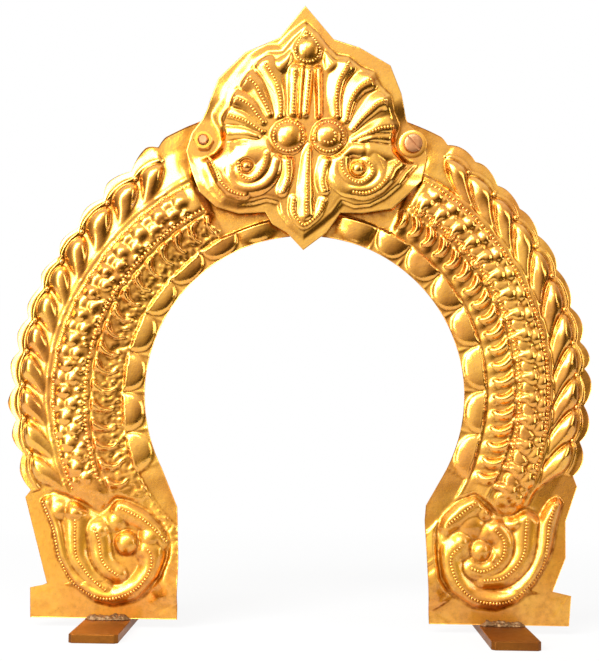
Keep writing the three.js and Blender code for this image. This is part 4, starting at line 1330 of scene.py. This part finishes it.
def build_foot(name, sizes, material):
    """Builds one flat bar foot, with cut corners and worn edges."""
    low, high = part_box(f"foot_bar_{name}")
    low, high = low / MM, high / MM
    cut = FOOT_CORNER
    plan = [(low.x, low.y + cut), (low.x + cut, low.y), (high.x - cut, low.y),
            (high.x, low.y + cut), (high.x, high.y - cut), (high.x - cut, high.y),
            (low.x + cut, high.y), (low.x, high.y - cut)]
    points = [(x, y, z) for z in (low.z, high.z) for x, y in plan]
    n = len(plan)
    faces = [tuple(reversed(range(n))), tuple(range(n, 2 * n))]
    faces += [(i, (i + 1) % n, n + (i + 1) % n, n + i) for i in range(n)]
    piece = new_piece(f"foot_bar_{name}_dressed", points, faces, 0)
    bevel = piece.modifiers.new("worn_edges", "BEVEL")
    bevel.width = sizes.edge_round
    bevel.segments = 3
    bevel.limit_method = "ANGLE"
    bevel.harden_normals = False
    dress(piece, material, f"foot_bar_{name}")


def build_solder(name, sheets, material):
    """Builds the lumpy solder before and behind one sheet, joined under the sheet."""
    low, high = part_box(f"solder_seam_{name}")
    low, high = low / MM, high / MM
    front, back = -(sheets.arch_sheet / MM) - SEAT_GAP, SEAT_GAP
    top = high.z - low.z
    seed = {"left": 21, "right": 22}[name]

    def skirt(middle, edge, share):
        bulge = 1 + 0.28 * math.sin(math.pi * share)
        return middle + (1 - share) * (edge - middle) * bulge, low.z + share * top, True

    profile = [skirt(front, low.y, k / 8) for k in range(9)]
    profile += [(front, low.z + SEAT_GAP, False), (back, low.z + SEAT_GAP, False)]
    profile += [skirt(back, high.y, 1 - k / 8) for k in range(9)]
    y, z, free = np.array(profile).T
    share = (np.arange(SOLDER_SLICES + 1) / SOLDER_SLICES)[:, None]
    x = low.x + (high.x - low.x) * share + 0 * y
    fade = np.minimum(1.0, np.minimum(6 * share + 0.25, 6 * (1 - share) + 0.25))
    lump = unevenness(x, z + 3 * y, 2.4, seed) + 0.6 * unevenness(x, z + 3 * y, 1.1, 33)
    grow = np.where(free > 0, fade * (1 + 0.24 * lump), 1)
    middle = np.where(y < (front + back) / 2, front, back)
    lumpy_y = middle + (y - middle) * grow
    lumpy_z = low.z + (z - low.z) * np.where(z - low.z > 0.5, grow, 1)
    points = np.dstack([x, lumpy_y, lumpy_z]).reshape(-1, 3)
    faces = tube_faces(SOLDER_SLICES + 1, len(profile), True)
    piece = new_piece(f"solder_seam_{name}_dressed", points, facing_out(points, faces))
    dress(piece, material, f"solder_seam_{name}")


def round_ring(radius, count=72):
    """Radii of a round ring."""
    return np.full(count, float(radius))


def hex_ring(flats, count=72):
    """Radii of a hexagon ring, from its width over flats."""
    turns = np.arange(count) * 360 / count
    off = (turns + 30) % 60 - 30
    return flats / 2 / np.cos(np.radians(off))


def thread_ring(radius, y, pitch, count=72):
    """Radii of a ring through a screw thread at a depth y."""
    turns = np.arange(count) / count
    phase = (y / pitch + turns) % 1.0
    return radius - THREAD_DEPTH * np.abs(2 * phase - 1)


def build_screw(name, sizes, material):
    """Builds one threaded screw. The left one has its head behind the sheets, the right one
    before them."""
    centre, front, back = main_sizes(f"screw_{name}")
    tip, far, sign = (front, back, 1) if name == "left" else (back, front, -1)
    near = far - sign * SCREW_HEAD_DEPTH
    shank, head = SCREW_RADIUS, SCREW_HEAD_RADIUS
    rings = [(tip, round_ring(shank - 0.9))]
    for y in np.linspace(tip, near, 96):
        reach = thread_ring(shank, y, sizes.thread_pitch / MM)
        rings.append((y, np.minimum(reach, shank - 0.7 + abs(y - tip))))
    steps = [(near, shank), (near, head - 0.3), (near + sign * 0.3, head),
             (far - sign * 0.7, head), (far - sign * 0.25, head - 0.25), (far, head - 0.8)]
    if name == "right":
        steps += [(far - 0.12, head * 0.6), (far - 0.16, head * 0.25)]
    rings += [(y, round_ring(radius)) for y, radius in steps]
    piece = turned(f"screw_{name}_dressed", rings, centre)
    if name == "right":
        cut_slot(piece, centre, front, sizes)
    keep_crisp(piece, 38)
    dress(piece, material, f"screw_{name}")


def cut_slot(piece, centre, front, sizes):
    """Cuts the screwdriver slot across the head."""
    length, width, depth = 14.0, sizes.slot_width / MM, 1.0
    turn = Matrix.Rotation(math.radians(50), 3, "Y")
    corners = []
    for dx in (-length / 2, length / 2):
        for dz in (-width / 2, width / 2):
            for dy in (-1.5, depth):
                spot = turn @ Vector((dx, 0, dz))
                corners.append((centre[0] + spot.x, front + dy, centre[1] + spot.z))
    faces = [(0, 1, 3, 2), (4, 6, 7, 5), (0, 4, 5, 1), (2, 3, 7, 6), (0, 2, 6, 4), (1, 5, 7, 3)]
    points = np.array(corners)
    cutter = new_piece("slot_cutter", points, facing_out(points, faces))
    modifier = piece.modifiers.new("slot", "BOOLEAN")
    modifier.operation = "DIFFERENCE"
    modifier.solver = "EXACT"
    modifier.object = cutter
    depsgraph = bpy.context.evaluated_depsgraph_get()
    result = bpy.data.meshes.new_from_object(piece.evaluated_get(depsgraph))
    piece.modifiers.remove(modifier)
    old = piece.data
    piece.data = result
    bpy.data.meshes.remove(old)
    bpy.data.objects.remove(cutter)


def build_nut(name, material):
    """Builds a hexagon nut with chamfered corners round a plain bore."""
    centre, front, back = main_sizes(f"nut_{name}")
    deep = back - front
    outside = ((0, 5.2), (0.25, 5.65), (0.75, 6.6), (deep - 0.75, 6.6), (deep - 0.25, 5.65),
               (deep, 5.2))
    rings = [(front + depth, np.minimum(hex_ring(NUT_FLATS), reach)) for depth, reach in outside]
    for y, radius in ((back, 3.5), (back - 0.4, 3.12), (front + 0.4, 3.12), (front, 3.5)):
        rings.append((y, round_ring(radius)))
    piece = turned(f"nut_{name}_dressed", rings, centre, cap=False)
    keep_crisp(piece, 28)
    dress(piece, material, f"nut_{name}")


def build_washer(name, material):
    """Builds a flat washer with softened edges."""
    centre, front, back = main_sizes(f"washer_{name}")
    outer, bore = WASHER_RADIUS, WASHER_BORE
    steps = ((front, outer - 0.3), (front + 0.2, outer), (back - 0.2, outer),
             (back, outer - 0.3), (back, bore + 0.2), (back - 0.2, bore), (front + 0.2, bore),
             (front, bore + 0.2))
    rings = [(y, round_ring(radius)) for y, radius in steps]
    piece = turned(f"washer_{name}_dressed", rings, centre, cap=False)
    keep_crisp(piece, 50)
    dress(piece, material, f"washer_{name}")


def studio_world(brightness):
    """White surroundings, brighter above, to the left and behind, and dim at the far left. The
    metal mirrors the dim parts in a warm tint, and the camera sees plain white."""
    world = bpy.data.worlds.new("studio")
    bpy.context.scene.world = world
    world.use_nodes = True
    world.node_tree.nodes.clear()
    tree = Tree(world.node_tree)
    way = tree.add("ShaderNodeTexCoord").outputs["Generated"]
    parts = tree.add("ShaderNodeSeparateXYZ", {"Vector": way}).outputs
    lean = tree.maths("MULTIPLY_ADD", parts["Z"], 1.15,
                      tree.maths("MULTIPLY", parts["X"], -0.95))
    behind = tree.ramp(parts["Y"], 0.0, 0.4)
    wing = tree.maths("MULTIPLY_ADD", tree.ramp(parts["X"], -0.97, -0.74), 0.8, 0.2)
    level = tree.maths("MULTIPLY", tree.ramp(lean, -0.72, 0.26), wing)
    level = tree.maths("MAXIMUM", level, behind)
    level = tree.maths("MULTIPLY_ADD", level, 0.92, 0.08)
    rays = tree.add("ShaderNodeLightPath").outputs
    seen = rays["Is Camera Ray"]
    mirrored = tree.maths("MAXIMUM", rays["Is Glossy Ray"], rays["Is Transmission Ray"])
    power = tree.maths("MULTIPLY", level, tree.maths("MULTIPLY_ADD", mirrored, 0.65, brightness))
    unseen = tree.maths("SUBTRACT", 1.0, seen)
    strength = tree.maths("ADD", tree.maths("MULTIPLY", power, unseen), seen)
    warmth = tree.maths("MULTIPLY", tree.maths("SUBTRACT", 1.0, level), mirrored)
    tint = tree.mix_colour(warmth, (1.0, 1.0, 1.0), (1.0, 0.68, 0.36))
    glow = tree.add("ShaderNodeBackground", {"Color": tint, "Strength": strength})
    tree.add("ShaderNodeOutputWorld", {"Surface": glow.outputs[0]})


def floor_finish(colour):
    """A pale floor that shows white to the camera and still keeps the shadow."""
    material, tree = new_material("pale_floor")
    rays = tree.add("ShaderNodeLightPath").outputs
    spot = tree.add("ShaderNodeTexCoord").outputs["Object"]
    reach = tree.add("ShaderNodeVectorMath", {0: spot}, operation="LENGTH").outputs["Value"]
    shown = tree.maths("MULTIPLY_ADD", tree.ramp(reach, 0.28, 0.75), 0.12, 0.88)
    plain = tree.add("ShaderNodeBsdfDiffuse", {"Color": (*colour, 1.0)})
    glow = tree.add("ShaderNodeEmission", {"Color": (1, 1, 1, 1), "Strength": 1.0})
    mirrored = tree.maths("MAXIMUM", rays["Is Glossy Ray"], rays["Is Transmission Ray"])
    share = tree.maths("MULTIPLY_ADD", rays["Is Camera Ray"], shown,
                       tree.maths("MULTIPLY", mirrored, 0.4))
    mixed = tree.add("ShaderNodeMixShader", {0: share, 1: plain.outputs[0], 2: glow.outputs[0]})
    tree.add("ShaderNodeOutputMaterial", {"Surface": mixed.outputs[0]})
    return material


def add_lamp(name, spot, size, power):
    """An area lamp that shines on the middle of the arch, in metres and watts."""
    data = bpy.data.lights.new(name, "AREA")
    data.shape = "RECTANGLE"
    data.size, data.size_y = size
    data.energy = power
    lamp = link_object(name, data)
    lamp.location = spot
    lamp.rotation_euler = (LAMP_AIM - Vector(spot)).to_track_quat("-Z", "Y").to_euler()


def add_camera(lens):
    """The camera that stands where the photo was taken, a little rolled as the photo is."""
    data = bpy.data.cameras.new("camera")
    data.sensor_fit = "VERTICAL"
    data.sensor_height = 36
    data.sensor_width = 36
    data.lens = lens
    data.clip_end = 20
    camera = link_object("camera", data)
    spot = Vector((6.9, -800, 127.8)) * MM
    aim = Vector((-0.7, 0, 181)) * MM
    forward = (aim - spot).normalized()
    right = forward.cross(Vector((0, 0, 1))).normalized()
    up = right.cross(forward)
    roll = math.radians(0.9)
    right, up = (right * math.cos(roll) + up * math.sin(roll),
                 up * math.cos(roll) - right * math.sin(roll))
    axes = Matrix((right, up, -forward)).transposed()
    camera.matrix_world = Matrix.Translation(spot) @ axes.to_4x4()
    bpy.context.scene.camera = camera


class AUREOLE_PG_sheets(bpy.types.PropertyGroup):
    """Sizes of the beaten sheets."""
    arch_sheet: FloatProperty(name="Arch sheet", description="Thickness of the arch's sheet",
                              default=0.0009, unit="LENGTH")
    crest_sheet: FloatProperty(name="Crest sheet", description="Thickness of the crest's sheet",
                               default=0.001, unit="LENGTH")
    fineness: FloatProperty(name="Fineness", description="Distance between the sheet's points",
                            default=0.00068, unit="LENGTH")


class AUREOLE_PG_beads(bpy.types.PropertyGroup):
    """Sizes of the punched beads."""
    radius: FloatProperty(name="Bead radius", description="Radius of the small beads",
                          default=0.0008, unit="LENGTH")
    stroke: FloatProperty(name="Stroke", description="Width of a small bead over its length",
                          default=1.5)
    spacing: FloatProperty(name="Spacing", description="Distance between small beads",
                           default=0.0019, unit="LENGTH")
    row_radius: FloatProperty(name="Row bead radius", description="Radius of the band's beads",
                              default=0.00095, unit="LENGTH")
    row_spacing: FloatProperty(name="Row spacing", description="Distance between band beads",
                               default=0.0027, unit="LENGTH")
    unevenness: FloatProperty(name="Unevenness", description="How much bead sizes differ",
                              default=0.12, subtype="FACTOR")


class AUREOLE_PG_feet(bpy.types.PropertyGroup):
    """Sizes of the feet."""
    edge_round: FloatProperty(name="Edge rounding", description="Rounding of the bar's edges",
                              default=0.0004, unit="LENGTH")


class AUREOLE_PG_screws(bpy.types.PropertyGroup):
    """Sizes of the screws."""
    thread_pitch: FloatProperty(name="Thread pitch", description="Rise of one turn of thread",
                                default=0.001, unit="LENGTH")
    slot_width: FloatProperty(name="Slot width", description="Width of the screw's slot",
                              default=0.0012, unit="LENGTH")


class AUREOLE_PG_finishes(bpy.types.PropertyGroup):
    """Colours of the metals."""
    brass: FloatVectorProperty(name="Brass", description="Clean beaten brass", subtype="COLOR",
                               size=3, default=(0.95, 0.47, 0.032), min=0, max=1)
    warm_brass: FloatVectorProperty(name="Warm brass", description="Brass where it has warmed",
                                    subtype="COLOR", size=3, default=(0.87, 0.35, 0.018),
                                    min=0, max=1)
    # Colour of the tarnish and of the painted shade in the hollows, beside the crest and near the
    # table
    tarnish_and_shade_colour: FloatVectorProperty(name="Tarnish", description="Tarnish in the hollows",
                                 subtype="COLOR", size=3, default=(0.3, 0.09, 0.008),
                                 min=0, max=1)
    bar_brass: FloatVectorProperty(name="Bar brass", description="Browned flat bar",
                                   subtype="COLOR", size=3, default=(0.26, 0.092, 0.014),
                                   min=0, max=1)
    copper: FloatVectorProperty(name="Copper", description="Screw metal", subtype="COLOR",
                                size=3, default=(0.38, 0.135, 0.04), min=0, max=1)


class AUREOLE_PG_stage(bpy.types.PropertyGroup):
    """The floor, the light and the lens."""
    floor_colour: FloatVectorProperty(name="Floor", description="Colour of the floor",
                                      subtype="COLOR", size=3, default=(0.85, 0.85, 0.84),
                                      min=0, max=1)
    brightness: FloatProperty(name="Surroundings", description="Light from all round",
                              default=0.4)
    lens: FloatProperty(name="Lens", description="Focal length in millimetres", default=71.56)


class AUREOLE_OT_arch(bpy.types.Operator):
    """Builds the two halves of the arch with their beaten bands and volutes."""
    bl_idname = "aureole.arch"
    bl_label = "Arch halves"

    def execute(self, context):
        scene = context.scene
        for name in HALVES:
            build_arch_half(name, scene.aureole_sheets,
                            finish("beaten_brass", scene.aureole_finishes))
        return {"FINISHED"}


class AUREOLE_OT_crest(bpy.types.Operator):
    """Builds the crest plate over the top of the arch."""
    bl_idname = "aureole.crest"
    bl_label = "Crest"

    def execute(self, context):
        scene = context.scene
        build_crest(scene.aureole_sheets, finish("beaten_brass", scene.aureole_finishes))
        return {"FINISHED"}


class AUREOLE_OT_beads(bpy.types.Operator):
    """Sets the punched beads along the lobes and bands."""
    bl_idname = "aureole.beads"
    bl_label = "Punched beads"

    def execute(self, context):
        scene = context.scene
        build_beads(scene.aureole_beads, scene.aureole_sheets,
                    finish("beaten_brass", scene.aureole_finishes))
        return {"FINISHED"}


class AUREOLE_OT_feet(bpy.types.Operator):
    """Builds the flat bar feet and their solder."""
    bl_idname = "aureole.feet"
    bl_label = "Feet"

    def execute(self, context):
        scene = context.scene
        for name in HALVES:
            build_foot(name, scene.aureole_feet, finish("bar_brass", scene.aureole_finishes))
            build_solder(name, scene.aureole_sheets, finish("solder", scene.aureole_finishes))
        return {"FINISHED"}


class AUREOLE_OT_screws(bpy.types.Operator):
    """Builds the two screws with their nuts and washers."""
    bl_idname = "aureole.screws"
    bl_label = "Screws"

    def execute(self, context):
        scene = context.scene
        for name in HALVES:
            build_screw(name, scene.aureole_screws, finish("copper_screw", scene.aureole_finishes))
            build_nut(name, finish("hardware_brass", scene.aureole_finishes))
            build_washer(name, finish("hardware_brass", scene.aureole_finishes))
        return {"FINISHED"}


class AUREOLE_OT_stage(bpy.types.Operator):
    """Sets up the floor, the studio light and the camera."""
    bl_idname = "aureole.stage"
    bl_label = "Stage"

    def execute(self, context):
        settings = context.scene.aureole_stage
        side, front, back = 800, -240, 1300
        points = [(-side, front, 0), (side, front, 0), (side, back, 0), (-side, back, 0)]
        floor = new_piece("floor", points, [(0, 1, 2, 3)])
        floor.data.materials.append(floor_finish(settings.floor_colour))
        studio_world(settings.brightness)
        add_lamp("key_lamp", (-0.7, -1.1, 0.95), (0.8, 0.8), 22)
        add_lamp("side_strip", (-0.9, -1.0, 0.4), (0.35, 0.9), 8)
        add_lamp("fill_lamp", (1.25, -0.8, 0.5), (0.35, 0.9), 4)
        add_lamp("top_lamp", (-0.12, -1.0, 1.15), (0.7, 0.4), 6)
        add_lamp("rear_lamp", (0.2, 1.1, 0.9), (0.9, 0.9), 3)
        add_camera(settings.lens)
        context.scene.view_settings.view_transform = "Standard"
        return {"FINISHED"}


class AUREOLE_PT_panel(bpy.types.Panel):
    """Lists the aureole's pieces."""
    bl_idname = "AUREOLE_PT_panel"
    bl_label = "Aureole"
    bl_space_type = "VIEW_3D"
    bl_region_type = "UI"
    bl_category = "Aureole"

    def draw(self, context):
        for operator in OPERATORS:
            self.layout.operator(operator.bl_idname)


GROUPS = {
    "aureole_sheets": AUREOLE_PG_sheets,
    "aureole_beads": AUREOLE_PG_beads,
    "aureole_feet": AUREOLE_PG_feet,
    "aureole_screws": AUREOLE_PG_screws,
    "aureole_finishes": AUREOLE_PG_finishes,
    "aureole_stage": AUREOLE_PG_stage,
}
OPERATORS = (AUREOLE_OT_arch, AUREOLE_OT_crest, AUREOLE_OT_beads, AUREOLE_OT_feet,
             AUREOLE_OT_screws, AUREOLE_OT_stage)


def register():
    """Adds the settings, the operators and the panel."""
    for kind in (*GROUPS.values(), *OPERATORS, AUREOLE_PT_panel):
        bpy.utils.register_class(kind)
    for name, kind in GROUPS.items():
        setattr(bpy.types.Scene, name, PointerProperty(type=kind))


def unregister():
    """Takes them away again."""
    for name in GROUPS:
        delattr(bpy.types.Scene, name)
    for kind in (AUREOLE_PT_panel, *reversed(OPERATORS), *reversed(list(GROUPS.values()))):
        bpy.utils.unregister_class(kind)


def main():
    register()
    bpy.ops.aureole.arch()
    bpy.ops.aureole.crest()
    bpy.ops.aureole.beads()
    bpy.ops.aureole.feet()
    bpy.ops.aureole.screws()
    bpy.ops.aureole.stage()


if __name__ == "__main__":
    main()
